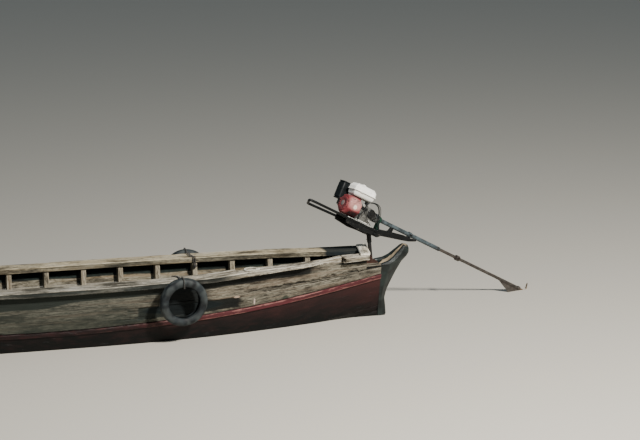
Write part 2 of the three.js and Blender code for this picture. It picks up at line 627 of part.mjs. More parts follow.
// A lashing: from a knot on a rib, over the covering board, round the tyre's top and back
const LASHING = { radius: 5, spread: 8, knot: 16 };
function lashing(x, side, ribX, drop) {
  const edge = boardEdges(x);
  const { lean, centreY, centreZ } = tyreSeat(x, drop);
  const skin = LASHING.radius + 1.8;
  const onTyre = (radius, along) => [
    centreY + radius * Math.sin(lean) + along * Math.cos(lean),
    centreZ + radius * Math.cos(lean) - along * Math.sin(lean),
  ];
  const ribEdge = boardEdges(ribX);
  const headY = sectionAt(ribX, PLANK + SEAM_GAP)[0][0] - RIB_HEAD_DEPTH;
  const knotY = Math.min(headY, ribEdge.inner) - LASHING.knot - 1;
  const run = [
    [ribX, knotY, ribEdge.bottom - 22],
    [ribX, ribEdge.inner - skin - 4, ribEdge.bottom + 12],
    [ribX, ribEdge.inner - skin, ribEdge.top - 6],
    [ribX, ribEdge.inner - 3.5, ribEdge.top + skin + 0.6],
    [(x + ribX - LASHING.spread) / 2, ribEdge.inner + 12, ribEdge.top + skin + 2],
    [x - LASHING.spread, (edge.inner + edge.outer) / 2, edge.top + skin],
    [x - LASHING.spread, edge.outer - 8, edge.top + skin + 0.5],
    [x - LASHING.spread, edge.outer + 2, edge.top + skin - 1.5],
    [x - LASHING.spread, edge.outer + skin - 0.5, edge.top - 9],
    [x - LASHING.spread, ...onTyre(TYRE.inner + 15, -TYRE.halfWidth - 1)],
    [x - LASHING.spread / 2, ...onTyre(TYRE.inner - 7, -TYRE.halfWidth + 12)],
    [x, ...onTyre(TYRE.inner - LASHING.radius - 1, 0)],
    [x, ...onTyre(TYRE.inner - 7, TYRE.halfWidth - 12)],
    [x + LASHING.spread / 2, ...onTyre(TYRE.inner + 15, TYRE.halfWidth + 1)],
    [x + LASHING.spread, ...onTyre(178, TYRE.halfWidth + skin + 2)],
    [x + LASHING.spread, ...onTyre(206, TYRE.halfWidth + 1)],
    [x + LASHING.spread, ...onTyre(TYRE.outer + skin + 1, 22)],
    [x + LASHING.spread, ...onTyre(TYRE.outer + skin + 1, -14)],
    [x + LASHING.spread, ...onTyre(TYRE.outer + skin - 6, -40)],
    [x + LASHING.spread, edge.outer - 14, edge.top + skin + 6],
    [x + LASHING.spread, edge.inner + 40, edge.top + skin + 2],
    [(x + ribX) / 2 + 1.5 * LASHING.spread, ribEdge.inner + 12, ribEdge.top + skin + 2],
    [ribX + 2.5 * skin, ribEdge.inner - 3.5, ribEdge.top + skin + 0.6],
    [ribX + 2.5 * skin, ribEdge.inner - skin, ribEdge.top - 6],
    [ribX + 2.5 * skin, ribEdge.inner - skin - 4, ribEdge.bottom + 12],
    [ribX + 2, knotY, ribEdge.bottom - 24],
  ].map(([px, y, z]) => [px, side * y, z]);
  const knot = new THREE.SphereGeometry(LASHING.knot, 10, 8)
    .translate(ribX + 1, side * knotY, ribEdge.bottom - 26);
  return join(rodAlong(run, LASHING.radius, 8, 60), knot);
}
//                side         x      lashed to         drop
const FENDERS = [['port', 1, -1000, ribStations[10], 172], ['starboard', -1, -1275, ribStations[11], 190]];
for (const [sideName, side, x, ribX, drop] of FENDERS) {
  piece(`fender_tyre_${sideName}`, tyre(x, side, drop), rubber);
  piece(`fender_lashing_${sideName}`, lashing(x, side, ribX, drop), darkCord);
}

// Small coil of rope on the port covering board
const COIL = { x: -1658, y: 347, radius: 56, thick: 11 };
const coilSection = Array.from({ length: 9 }, (_, k) => {
  const angle = 2 * Math.PI * (k % 8) / 8;
  return new THREE.Vector2(COIL.radius + COIL.thick * Math.cos(angle), COIL.thick * Math.sin(angle));
});
const coil = new THREE.LatheGeometry(coilSection, 24).rotateX(Math.PI / 2);
const coilZ = boardEdges(COIL.x + COIL.radius + COIL.thick).top;
const coilZAft = boardEdges(COIL.x - COIL.radius - COIL.thick).top;
piece('rope_coil', placed(coil, [COIL.x, COIL.y, Math.max(coilZ, coilZAft) + COIL.thick + SEAM_GAP]), rope);

// Post for the motor, leaning forward, with a round spigot at its head
const post = new THREE.Group();
post.position.set(...POST_BASE);
post.rotation.y = radians(POST_LEAN);
boat.add(post);
const POST = { radius: 17, shoulder: PIVOT_HEIGHT - 92, spigot: 11, spigotTop: PIVOT_HEIGHT - 32 };
const FOOT_PLATE = { length: 110, width: 90, thick: 10, offset: 3, gap: 0.2 };
const footPlate = placed(
  new THREE.BoxGeometry(FOOT_PLATE.length, FOOT_PLATE.width, FOOT_PLATE.thick),
  [FOOT_PLATE.offset, 0, (FOOT_PLATE.thick / 2 + FOOT_PLATE.gap) / Math.cos(radians(POST_LEAN))],
  [0, -POST_LEAN, 0],
);
piece('motor_post', join(
  footPlate,
  roundBar('z', POST.radius, POST.shoulder - 4, [0, 0, POST.shoulder / 2 + 2]),
  roundBar(
    'z', POST.spigot, POST.spigotTop - POST.shoulder + 6,
    [0, 0, (POST.spigotTop + POST.shoulder) / 2 - 3],
  ),
), rustySteel, post);

// Yoke: a sleeve turning on the spigot, with a cross tube for the tilt pin
const yoke = new THREE.Group();
yoke.rotation.z = radians(SWING_AT_REST);
post.add(yoke);
const YOKE = { sleeve: 21, crossRadius: 19, crossHalf: 70, spigotBore: 11.5, pinBore: 9.6 };
const yokeBody = join(
  roundBar('z', YOKE.sleeve, PIVOT_HEIGHT - POST.shoulder - 1, [0, 0, (PIVOT_HEIGHT + POST.shoulder + 1) / 2]),
  roundBar('y', YOKE.crossRadius, 2 * YOKE.crossHalf, [0, 0, PIVOT_HEIGHT]),
);
piece('motor_yoke', cut(
  yokeBody,
  roundBar(
    'z', YOKE.spigotBore, POST.spigotTop - POST.shoulder + 2,
    [0, 0, (POST.spigotTop + POST.shoulder) / 2],
  ),
  roundBar('y', YOKE.pinBore, 2 * YOKE.crossHalf + 10, [0, 0, PIVOT_HEIGHT]),
), blackSteel, yoke);

// Everything that tilts with the motor
const motor = new THREE.Group();
motor.position.set(0, 0, PIVOT_HEIGHT);
motor.rotation.y = -radians(TAIL_DOWN_AT_REST);
yoke.add(motor);

// Tail sleeve's size, and the top of the cradles that the frame's chord and strut hold it in
const SLEEVE_RADIUS = 19;
const CRADLE_TOP_Z = SHAFT_Z - 10;

// Frame: two handle rails, crossbar, engine bed, deep side plates, tilt pin and the aft chord
const RAIL_END = { port: [785, 64, 30], starboard: [710, -64, 6] };
const RAIL_BEND = { port: [345, RAIL_Y, 29], starboard: [345, -RAIL_Y, 17] };
const RAIL_AFT = { x: -20, z: 28 };
const SIDE_PLATE = [
  [345, 42], [345, -12], [182, -28], [60, -20], [-40, -20], [-74, 8], [-74, 42],
];
const handleRail = (side, sign) => join(
  rodAlong([RAIL_END[side], RAIL_BEND[side]], RAIL_RADIUS, 10, 1),
  rodAlong([
    [RAIL_BEND[side][0] + RAIL_RADIUS / 2, RAIL_BEND[side][1], RAIL_BEND[side][2]],
    [RAIL_AFT.x, sign * RAIL_Y, RAIL_AFT.z],
  ], RAIL_RADIUS, 10, 1),
);
const endBar = rodAlong([
  [RAIL_END.port[0] - RAIL_RADIUS, RAIL_END.port[1], RAIL_END.port[2]],
  [RAIL_END.starboard[0] - RAIL_RADIUS, RAIL_END.starboard[1], RAIL_END.starboard[2]],
], RAIL_RADIUS - 1, 10, 1);
const BED = { aft: 60, fore: 330, half: 92, thick: 7 };
const PLATE = { inside: RAIL_Y - 3, outside: RAIL_Y + 5 };
const TILT_PIN = { radius: 9, half: RAIL_Y + 1 };
const CROSSBAR = { aft: -76, fore: -66, low: 14, shelfFore: -36, shelfThick: 8 };
//  x     low   high   half-width
const CHORD = [
  [-70,   4,    62,    30],
  [-200,  31,   88,    26],
  [-363,  63,   114,   22],
  [-440,  80,   117,   18],
  [-462,  88,   117,   17],
  [-524,  111,  CRADLE_TOP_Z, 15],
];
const chord = loft(CHORD.map(([x, low, high, half]) => (
  [[x, half, low], [x, half, high], [x, -half, high], [x, -half, low]]
)));
const chordStrut = plateAlongY(
  [[-232, 70], [-187, 70], [-209, CRADLE_TOP_Z], [-239, CRADLE_TOP_Z]], -12, 12,
);
const SLEEVE_BED = { fore: -150, aft: -600 };
const sleeveBed = rodAlong(
  [[SLEEVE_BED.fore, 0, SHAFT_Z], [SLEEVE_BED.aft, 0, SHAFT_Z]], SLEEVE_RADIUS + SEAM_GAP, 12, 1,
);
piece('motor_frame', cut(join(
  handleRail('port', 1), handleRail('starboard', -1), endBar,
  box([BED.aft, -BED.half, BED_TOP_Z - BED.thick], [BED.fore, BED.half, BED_TOP_Z]),
  plateAlongY(SIDE_PLATE, PLATE.inside, PLATE.outside),
  plateAlongY(SIDE_PLATE, -PLATE.outside, -PLATE.inside),
  roundBar('y', TILT_PIN.radius, 2 * TILT_PIN.half, [0, 0, 0], 12),
  box([CROSSBAR.aft, -RAIL_Y, CROSSBAR.low], [CROSSBAR.fore, RAIL_Y, BED_TOP_Z]),
  box([CROSSBAR.aft, -RAIL_Y, BED_TOP_Z - CROSSBAR.shelfThick], [CROSSBAR.shelfFore, RAIL_Y, BED_TOP_Z]),
  chord, chordStrut,
), sleeveBed), blackSteel, motor);

// Engine block: crankcase with feet and tank posts
const CRANK = { fore: 244, aft: 95, nose: 67, noseRadius: 38, bossRadius: 50, footTop: 48, footHalf: 68 };
const TANK_POST = { forwardXs: [130, 214], thick: 16, starboard: -26, port: 6, foot: 190 };
const CRANKCASE_OUTLINE = [
  [-72, 47], [72, 47], [80, 68], [80, 170], [56, 199], [-56, 199], [-84, 166], [-84, 68],
];
const TANK = { aft: 94, fore: 352, low: -92, high: 66, base: 243, seam: 292, top: 358 };
piece('crankcase', join(
  plateAlongX(CRANKCASE_OUTLINE, CRANK.aft, CRANK.fore),
  box([CRANK.aft - 8, -CRANK.footHalf, BED_TOP_Z + SEAM_GAP], [CRANK.fore - 2, CRANK.footHalf, CRANK.footTop]),
  ...TANK_POST.forwardXs.map((x) => box(
    [x, TANK_POST.starboard, TANK_POST.foot], [x + TANK_POST.thick, TANK_POST.port, TANK.base - SEAM_GAP],
  )),
  turnedAboutX([
    [CRANK.nose, 0], [CRANK.nose, CRANK.noseRadius], [CRANK.aft + 2, CRANK.bossRadius], [CRANK.aft + 2, 0],
  ], 20, [0, 0, SHAFT_Z]),
), castAluminium, motor);

// Cylinder with cooling fins, leaning out to starboard, and its head cover
const CYLINDER = { foot: [-84, 143], lean: 65, length: 98, aft: 118, fore: 222, half: 44 };
const FINS = { count: 6, first: 18, pitch: 13, thick: 5, aft: 106, fore: 234, half: 54 };
const HEAD = { aft: 112, fore: 228, half: 42, height: 32 };
const cylinderParts = [
  box([CYLINDER.aft, -CYLINDER.half, 0], [CYLINDER.fore, CYLINDER.half, CYLINDER.length]),
];
for (let fin = 0; fin < FINS.count; fin += 1) {
  const height = FINS.first + fin * FINS.pitch;
  cylinderParts.push(box([FINS.aft, -FINS.half, height], [FINS.fore, FINS.half, height + FINS.thick]));
}
const onCylinder = (geometry) => placed(
  geometry, [0, CYLINDER.foot[0] - SEAM_GAP, CYLINDER.foot[1]], [CYLINDER.lean, 0, 0],
);
piece('cylinder', cut(
  onCylinder(join(...cylinderParts)),
  box([CRANK.aft - 5, CYLINDER.foot[0] - SEAM_GAP, 0], [TANK.fore, 100, 400]),
), castAluminium, motor);
piece('cylinder_head', onCylinder(box(
  [HEAD.aft, -HEAD.half, CYLINDER.length + SEAM_GAP], [HEAD.fore, HEAD.half, CYLINDER.length + HEAD.height],
)), castAluminium, motor);

// Fan cover, octagonal, with the recoil starter's disc and handle in front
const octagon = (radius) => Array.from({ length: 8 }, (_, k) => {
  const angle = Math.PI / 8 + k * Math.PI / 4;
  return [radius * Math.cos(angle), SHAFT_Z + radius * Math.sin(angle)];
});
const FAN = { radius: 97, frontRadius: 84, aft: CRANK.fore + SEAM_GAP, bend: 360, fore: 380 };
const fanRing = (x, radius) => octagon(radius).map(([y, z]) => [x, y, z]);
piece('fan_cover', loft([
  fanRing(FAN.aft, FAN.radius), fanRing(FAN.bend, FAN.radius), fanRing(FAN.fore, FAN.frontRadius),
]), redSteel, motor);
const STARTER = { radius: 66, depth: 9, bevel: [3, 7], gripY: -70, gripZ: 31, gripRadius: 7, gripLength: 18 };
piece('recoil_starter', join(
  turnedAboutX([
    [0, 0], [0, STARTER.radius], [STARTER.depth - STARTER.bevel[0], STARTER.radius],
    [STARTER.depth, STARTER.radius - STARTER.bevel[1]], [STARTER.depth, 0],
  ], 24, [FAN.fore + SEAM_GAP, 0, SHAFT_Z]),
  box(
    [FAN.fore + 3, STARTER.gripY - 8, SHAFT_Z + STARTER.gripZ - 8],
    [FAN.fore + 9, STARTER.gripY + 18, SHAFT_Z + STARTER.gripZ + 8],
  ),
  roundBar(
    'x', STARTER.gripRadius, STARTER.gripLength,
    [FAN.fore + 3 + STARTER.gripLength / 2, STARTER.gripY, SHAFT_Z + STARTER.gripZ], 10,
  ),
), redSteel, motor);

// Fuel tank: two pressed halves with a seam flange between, and its cap
function tankRing(z, inset, round) {
  const [x0, x1] = [TANK.aft + inset, TANK.fore - inset];
  const [y0, y1] = [TANK.low + inset, TANK.high - inset];
  return [
    [x0 + round, y0], [x1 - round, y0], [x1, y0 + round], [x1, y1 - round],
    [x1 - round, y1], [x0 + round, y1], [x0, y1 - round], [x0, y0 + round],
  ].map(([x, y]) => [x, y, z]);
}
piece('fuel_tank', loft([
  tankRing(TANK.base, 26, 18), tankRing(TANK.base + 12, 10, 22), tankRing(TANK.seam, 6, 24),
  tankRing(TANK.seam, 0, 26), tankRing(TANK.seam + 5, 0, 26), tankRing(TANK.seam + 5, 6, 24),
  tankRing(TANK.top - 18, 10, 26), tankRing(TANK.top, 34, 22),
], levelCap), whiteSteel, motor);
const CAP = { x: 232, y: -14, radius: 22, height: 7, topRadius: 16, topHeight: 5 };
const capFoot = TANK.top + SEAM_GAP;
piece('fuel_cap', join(
  roundBar('z', CAP.radius, CAP.height, [CAP.x, CAP.y, capFoot + CAP.height / 2], 20),
  roundBar('z', CAP.topRadius, CAP.topHeight, [CAP.x, CAP.y, capFoot + CAP.height + 1], 20),
), whiteSteel, motor);

// Air cleaner on its elbow, carburettor and exhaust box, all on the cylinder's side
const AIR = { fore: 385, aft: 288, port: -98, starboard: -186, low: 172, high: 340 };
const airRing = (z, inset) => [
  [AIR.aft + inset, AIR.port - inset], [AIR.fore - inset, AIR.port - inset],
  [AIR.fore - inset, AIR.starboard + inset], [AIR.aft + inset, AIR.starboard + inset],
].map(([x, y]) => [x, y, z]);
piece('air_cleaner', loft([
  airRing(AIR.low, 12), airRing(AIR.low + 16, 0), airRing(AIR.high - 22, 0), airRing(AIR.high, 20),
], levelCap), blackPlastic, motor);
const CARBURETTOR = { aft: 254, fore: 334, starboard: -174, port: -124, low: 126 };
const INTAKE = { radius: 19, length: 24, centre: [246.3, -149, 150] };
piece('carburettor', join(
  box(
    [CARBURETTOR.aft, CARBURETTOR.starboard, CARBURETTOR.low],
    [CARBURETTOR.fore, CARBURETTOR.port, AIR.low - SEAM_GAP],
  ),
  roundBar('x', INTAKE.radius, INTAKE.length, INTAKE.centre, 14),
), castAluminium, motor);
const SILENCER = { aftLow: [2, -192, 128], foreHigh: [94, -104, 214] };
const SILENCER_FLANGE = { aftLow: [90, -184, 140], foreHigh: [105.7, -116, 204] };
piece('exhaust_box', join(
  box(SILENCER.aftLow, SILENCER.foreHigh),
  box(SILENCER_FLANGE.aftLow, SILENCER_FLANGE.foreHigh),
), rustySteel, motor);

// Coupling between crank and tail shaft, green bearing bracket
const BRACKET = { fore: -40.3, aft: -66, half: 20 };
const COUPLING_FORE_X = CRANK.nose - SEAM_GAP;
piece('coupling_housing', turnedAboutX([
  [-40, 0], [-40, 24], [-18, 28], [-18, 42], [10, 42], [10, 32], [40, 32], [40, 45],
  [COUPLING_FORE_X, 45], [COUPLING_FORE_X, 0],
], 20, [0, 0, SHAFT_Z]), blackSteel, motor);
piece('bearing_bracket', join(
  turnedAboutX([
    [BRACKET.aft, 0], [BRACKET.aft, 30], [BRACKET.fore, 34], [BRACKET.fore, 0],
  ], 16, [0, 0, SHAFT_Z]),
  box([BRACKET.aft + 2, -BRACKET.half, BED_TOP_Z + SEAM_GAP], [BRACKET.fore - 2, BRACKET.half, SHAFT_Z]),
), greenPaint, motor);

// Throttle cable: a stiff sheath that stands in an arc from the engine's top to the frame's shelf
const CABLE = { radius: 6, sides: 8, steps: 26 };
//  x    y    z
const CABLE_RUN = [
  [170,  46,  199.6],
  [170,  46,  208],
  [166,  48,  222],
  [152,  54,  236],
  [126,  66,  247],
  [94,   72,  249],
  [60,   71,  238],
  [34,   69,  212],
  [16,   66,  180],
  [2,    62,  142],
  [-12,  60,  104],
  [-30,  60,  74],
  [-42,  60,  56],
  [-44,  60,  46],
  [-44,  60,  37.6],
];
piece('throttle_cable', rodAlong(CABLE_RUN, CABLE.radius, CABLE.sides, CABLE.steps), blackPlastic, motor);

// Tail: pale sleeve with clamps, dark long tube, turning rod inside, skeg fin and propeller
const SLEEVE = { fore: BRACKET.aft - SEAM_GAP, aft: -815, radius: SLEEVE_RADIUS, bore: 14.4 };
const TUBE = { fore: -660, aft: -1886, radius: 14 };
const along = (x0, x1, radius, bore, sides) => rodAlong(
  [[x0, 0, SHAFT_Z], [x1, 0, SHAFT_Z]], radius, sides, 1, bore,
);
const CLAMP = { radius: 25, sleeveX: -436, sleeveWidth: 34, tubeX: -1053, tubeWidth: 40 };
const clamp = (x, width) => roundBar('x', CLAMP.radius, width, [x, 0, SHAFT_Z], 12);
//  x     z
const SKEG = [
  [-1600, SHAFT_Z - 8],
  [-1880, SHAFT_Z - 8],
  [-1880, SHAFT_Z - 96],
  [-1850, SHAFT_Z - 108],
];
piece('tail_sleeve', cut(
  join(
    along(SLEEVE.fore, SLEEVE.aft, SLEEVE.radius, 0, 12),
    clamp(CLAMP.sleeveX, CLAMP.sleeveWidth),
  ),
  along(TUBE.fore + 2, SLEEVE.aft - 2, SLEEVE.bore, 0, 12),
), palePaint, motor);
piece('tail_tube', join(
  along(TUBE.fore, TUBE.aft, TUBE.radius, 0, 12),
  clamp(CLAMP.tubeX, CLAMP.tubeWidth),
  plateAlongY(SKEG, -3, 3),
), tailSteel, motor);

// Propeller: hub, nose and two twisted blades, on a stub of the turning rod
const PROPELLER = { hubFore: -1946, hubAft: SHAFT_TAIL_X - 20, radius: 86, pitch: 32 };
//  radius  half-chord  thickness
const BLADE = [
  [12, 20, 9],
  [40, 34, 7],
  [66, 32, 5],
  [PROPELLER.radius, 14, 3],
];
function blade(turn) {
  const rings = BLADE.map(([radius, half, thick]) => {
    const twist = radians(PROPELLER.pitch * 20 / radius + 20);
    return [[-half, -thick / 2], [half, -thick / 2], [half, thick / 2], [-half, thick / 2]].map(([u, v]) => [
      SHAFT_TAIL_X + 14 + u * Math.sin(twist) + v * Math.cos(twist),
      u * Math.cos(twist) - v * Math.sin(twist),
      radius,
    ]);
  });
  return loft(rings, ([x, y]) => [x, y]).rotateX(radians(turn)).translate(0, 0, SHAFT_Z);
}
piece('propeller', join(
  turnedAboutX([
    [PROPELLER.hubAft - 18, 0], [PROPELLER.hubAft - 12, 9], [PROPELLER.hubAft, 14], [SHAFT_TAIL_X, 19],
    [PROPELLER.hubFore, 19], [PROPELLER.hubFore, 8], [TUBE.aft - 0.5, 8], [TUBE.aft - 0.5, 0],
  ], 16, [0, 0, SHAFT_Z]),
  blade(20), blade(200),
), bronze, motor);

export default boat;
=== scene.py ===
import bpy
import numpy as np
from mathutils import Matrix


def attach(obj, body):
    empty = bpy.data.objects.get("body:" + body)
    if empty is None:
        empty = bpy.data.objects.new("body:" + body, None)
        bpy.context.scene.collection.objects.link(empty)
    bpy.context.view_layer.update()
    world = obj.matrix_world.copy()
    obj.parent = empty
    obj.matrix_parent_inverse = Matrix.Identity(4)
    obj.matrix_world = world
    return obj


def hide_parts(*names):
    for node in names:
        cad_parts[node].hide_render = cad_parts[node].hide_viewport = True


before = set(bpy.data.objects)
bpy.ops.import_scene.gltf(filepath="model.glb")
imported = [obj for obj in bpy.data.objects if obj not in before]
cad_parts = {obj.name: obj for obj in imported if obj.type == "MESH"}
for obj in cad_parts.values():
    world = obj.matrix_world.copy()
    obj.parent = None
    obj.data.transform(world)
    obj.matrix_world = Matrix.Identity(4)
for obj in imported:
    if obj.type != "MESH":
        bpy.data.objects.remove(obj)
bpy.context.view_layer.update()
MM = 0.001

# Camera: on the bank off the port quarter, a little above the boat, through a long lens.
AZIMUTH, ELEVATION = np.radians(164.0), np.radians(12.5)
CAMERA_PLACE = (3.439, 20.304, 5.600)
BACK = np.array([np.sin(AZIMUTH), -np.cos(AZIMUTH), np.tan(ELEVATION)]) * np.cos(ELEVATION)


def unit(v):
    """A vector, or each vector of an array, at a length of one."""
    return v / np.linalg.norm(v, axis=-1, keepdims=True)


def looking(back, place):
    """The matrix of a camera or a lamp at a place, looking against a direction with its top upwards."""
    right = unit(np.cross([0.0, 0.0, 1.0], back))
    rows = np.column_stack([right, np.cross(back, right), back, place]).tolist()
    return Matrix(rows + [[0, 0, 0, 1]])


lens = bpy.data.cameras.new("camera")
lens.sensor_width, lens.lens, lens.clip_end = 36.0, 136.1, 200.0
camera = bpy.data.objects.new("camera", lens)
camera.matrix_world = looking(BACK, CAMERA_PLACE)
bpy.context.collection.objects.link(camera)
bpy.context.scene.camera = camera


# Studio: one strong light off the port quarter, a faint one forward, and a pale cool room.
def lamp(name, place, size, power, colour):
    """A square area light at a place, facing the boat's middle."""
    data = bpy.data.lights.new(name, "AREA")
    data.size, data.energy, data.color = size, power, colour
    made = bpy.data.objects.new(name, data)
    bpy.context.collection.objects.link(made)
    made.matrix_world = looking(unit(np.array(place) - np.array([-1.0, 0.0, 0.3])), place)


lamp("key_light", (-5.4, 9.9, 9.2), 1.2, 3900, (1.0, 0.965, 0.91))
lamp("fill_light", (7.0, 9.0, 6.0), 6.0, 110, (0.90, 0.95, 1.0))
room = bpy.data.worlds.new("room")
bpy.context.scene.world = room
room.use_nodes = True
room.node_tree.nodes["Background"].inputs["Color"].default_value = (0.66, 0.80, 0.92, 1)
room.node_tree.nodes["Background"].inputs["Strength"].default_value = 0.24


# Stage: a plain pale floor at the waterline, out to where the camera sees nothing else.
def linear(code):
    """An sRGB hex colour as linear RGBA."""
    raw = np.array([int(code[i:i + 2], 16) for i in (1, 3, 5)]) / 255
    return (*np.where(raw <= 0.04045, raw / 12.92, ((raw + 0.055) / 1.055) ** 2.4).tolist(), 1.0)


def finish(name, colour, roughness, metal=0.0, sheen=0.5):
    """A new material, its node tree and its shader, with the plain numbers on the shader's own sockets."""
    material = bpy.data.materials.new(name)
    material.use_nodes = True
    shader = material.node_tree.nodes["Principled BSDF"]
    shader.inputs["Base Color"].default_value = linear(colour)
    shader.inputs["Roughness"].default_value = roughness
    shader.inputs["Metallic"].default_value = metal
    shader.inputs["Specular IOR Level"].default_value = sheen
    return material, material.node_tree, shader


def solid(name, corners, faces, material, uv=None, worn=None, sharp=35):
    """A mesh object from corners (n, 3) and index arrays of faces, all turned outwards by its volume.

    uv is the piece's own map, one pair per face corner, and worn a number per corner.
    """
    volume = 0.0
    for face in faces:
        for j in range(1, face.shape[1] - 1):
            a, b, c = corners[face[:, 0]], corners[face[:, j]], corners[face[:, j + 1]]
            volume += float(np.einsum("ij,ij->", a, np.cross(b, c)))
    if volume < 0:
        if uv is not None:
            parts = np.split(uv, np.cumsum([face.size for face in faces])[:-1])
            uv = np.concatenate([
                part.reshape(*face.shape, 2)[:, ::-1].reshape(-1, 2) for part, face in zip(parts, faces)
            ])
        faces = [face[:, ::-1] for face in faces]
    mesh = bpy.data.meshes.new(name)
    loops = np.concatenate([face.ravel() for face in faces]).astype(np.int32)
    counts = np.concatenate([np.full(len(face), face.shape[1]) for face in faces]).astype(np.int32)
    mesh.vertices.add(len(corners))
    mesh.vertices.foreach_set("co", np.ascontiguousarray(corners, dtype=np.float32).ravel())
    mesh.loops.add(len(loops))
    mesh.loops.foreach_set("vertex_index", loops)
    mesh.polygons.add(len(counts))
    mesh.polygons.foreach_set("loop_start", np.concatenate([[0], np.cumsum(counts)[:-1]]).astype(np.int32))
    mesh.update(calc_edges=True)
    if uv is not None:
        mesh.uv_layers.new(name="grain").data.foreach_set("uv", uv.astype(np.float32).ravel())
    if worn is not None:
        mesh.attributes.new("worn", "FLOAT", "POINT").data.foreach_set("value", worn.astype(np.float32))
    mesh.polygons.foreach_set("use_smooth", np.ones(len(counts), bool))
    mesh.set_sharp_from_angle(angle=np.radians(sharp))
    mesh.materials.append(material)
    made = bpy.data.objects.new(name, mesh)
    bpy.context.collection.objects.link(made)
    return made


def rides(made, body, slot, *nodes):
    """The piece moves with a body and stands for CAD nodes, which it hides. slot is not used."""
    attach(made, body)
    if nodes:
        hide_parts(*nodes)
    return made


floor_paint, _, _ = finish("pale_matt_floor_paint", "#b9b4a9", 0.9)
solid("floor", np.array([[-40, -40, 0], [40, -40, 0], [40, 40, 0], [-40, 40, 0.0]]),
               [np.array([[0, 1, 2, 3]])], floor_paint)


# Side and bottom planking: wide hardwood planks, nailed edge to edge on the ribs and never sanded since.
# The two side planks are bare and weathered. The bilge strakes carry old red paint gone almost black,
# and the garboards a dark maroon one.
PLANK, SEAM_GAP, RIB_WIDTH, RIB_GAP = 0.025, 0.0003, 0.046, 0.0009
BOW_X, STERN_X = 3.120, -2.920
RIB_XS = 2.361 - 0.333 * np.arange(15)
#    x      sheerY Z    seamY Z    redY  Z    bilgeY Z    keelZ
LINES = MM * np.array([
    [-2920, 140, 572, 128, 478, 116, 414, 34, 100, 20],
    [-2400, 214, 563, 180, 412, 158, 322, 96, 10, -80],
    [-1900, 310, 554, 270, 384, 242, 262, 196, -50, -126],
    [-1300, 428, 529, 385, 367, 352, 222, 292, -78, -150],
    [-700, 478, 521, 443, 361, 402, 194, 336, -92, -160],
    [0, 490, 517, 458, 364, 412, 175, 345, -95, -163],
    [700, 478, 520, 443, 363, 402, 182, 336, -92, -160],
    [1300, 425, 534, 385, 368, 352, 214, 296, -80, -150],
    [1900, 318, 566, 280, 392, 252, 268, 206, -50, -128],
    [2500, 215, 620, 180, 445, 158, 350, 104, 14, -80],
    [3120, 128, 700, 116, 585, 104, 505, 34, 180, 60],
])
STATIONS = np.sort(np.concatenate([
    [-2.920, -2.775, -2.700, -2.520, 2.560, 2.740, 2.930, 3.120],
    RIB_XS - RIB_WIDTH / 2, RIB_XS + RIB_WIDTH / 2,
]))


def hull_lines(x):
    """The hull's lines at x: cubics through the table's rows, each leaving a row along the line
    between its two neighbours, and with no curvature at the ends."""
    t, values = LINES[:, 0], LINES[:, 1:]
    i1 = np.clip(np.searchsorted(t, x, side="right"), 1, len(t) - 1)
    i0 = i1 - 1
    before, after = np.where(i1 >= 2, i1 - 2, i1), np.where(i1 + 1 < len(t), i1 + 1, i0)
    half = (t[i1] - t[i0]) / 2
    wp, wn = half / (t[i0] - t[before]), half / (t[after] - t[i1])
    p = (x - t[i0]) / (t[i1] - t[i0])
    weights = np.stack([
        -wp * p**3 + 2 * wp * p**2 - wp * p,
        (1 + wp) * p**3 + (-1.5 - 2 * wp) * p**2 + (-0.5 + wp) * p + 1,
        (-1 - wn) * p**3 + (1.5 + wn) * p**2 + 0.5 * p,
        wn * p**3 - wn * p**2,
    ], -1)
    return np.einsum("sk,ksv->sv", weights, np.stack([values[before], values[i0], values[i1], values[after]]))


def crossing(p, d, q, e):
    """Where two straight lines in a section cross, each given by a point and a direction."""
    gap = q - p
    along = (gap[:, 0] * e[:, 1] - gap[:, 1] * e[:, 0]) / (d[:, 0] * e[:, 1] - d[:, 1] * e[:, 0])
    return p + along[:, None] * d


def section(x, depth):
    """The planking's five corners (y, z) at each x, set in from its outer face by a depth.

    At the stations the outer lines are moved inwards and crossed again; between them all is straight.
    """
    x = np.atleast_1d(x)
    lines = hull_lines(STATIONS)
    outer = np.stack([lines[:, 0:2], lines[:, 2:4], lines[:, 4:6], lines[:, 6:8],
                      np.stack([np.full(len(lines), SEAM_GAP / 2), lines[:, 8]], -1)], 1)
    run = outer[:, 1:] - outer[:, :-1]
    start = outer[:, :-1] + depth * unit(run)[..., ::-1] * np.array([1, -1])
    level, plumb = np.tile([1.0, 0.0], (len(lines), 1)), np.tile([0.0, 1.0], (len(lines), 1))
    corners = [crossing(start[:, 0], run[:, 0], outer[:, 0], level)]
    corners += [crossing(start[:, k], run[:, k], start[:, k + 1], run[:, k + 1]) for k in range(3)]
    corners.append(crossing(start[:, 3], run[:, 3], outer[:, 4], plumb))
    flat = np.stack(corners, 1).reshape(len(lines), 10)
    return np.stack([np.interp(x, STATIONS, column) for column in flat.T], -1).reshape(len(x), 5, 2)


def lengthwise(x0, x1, step, *also):
    """Distances along the boat from x0 to x1, a step apart, with the stations between and others."""
    even = np.linspace(x0, x1, int(round((x1 - x0) / step)) + 1)
    inside = STATIONS[(STATIONS > x0 + 0.002) & (STATIONS < x1 - 0.002)]
    return np.unique(np.round(np.concatenate([even, inside, also]), 5))


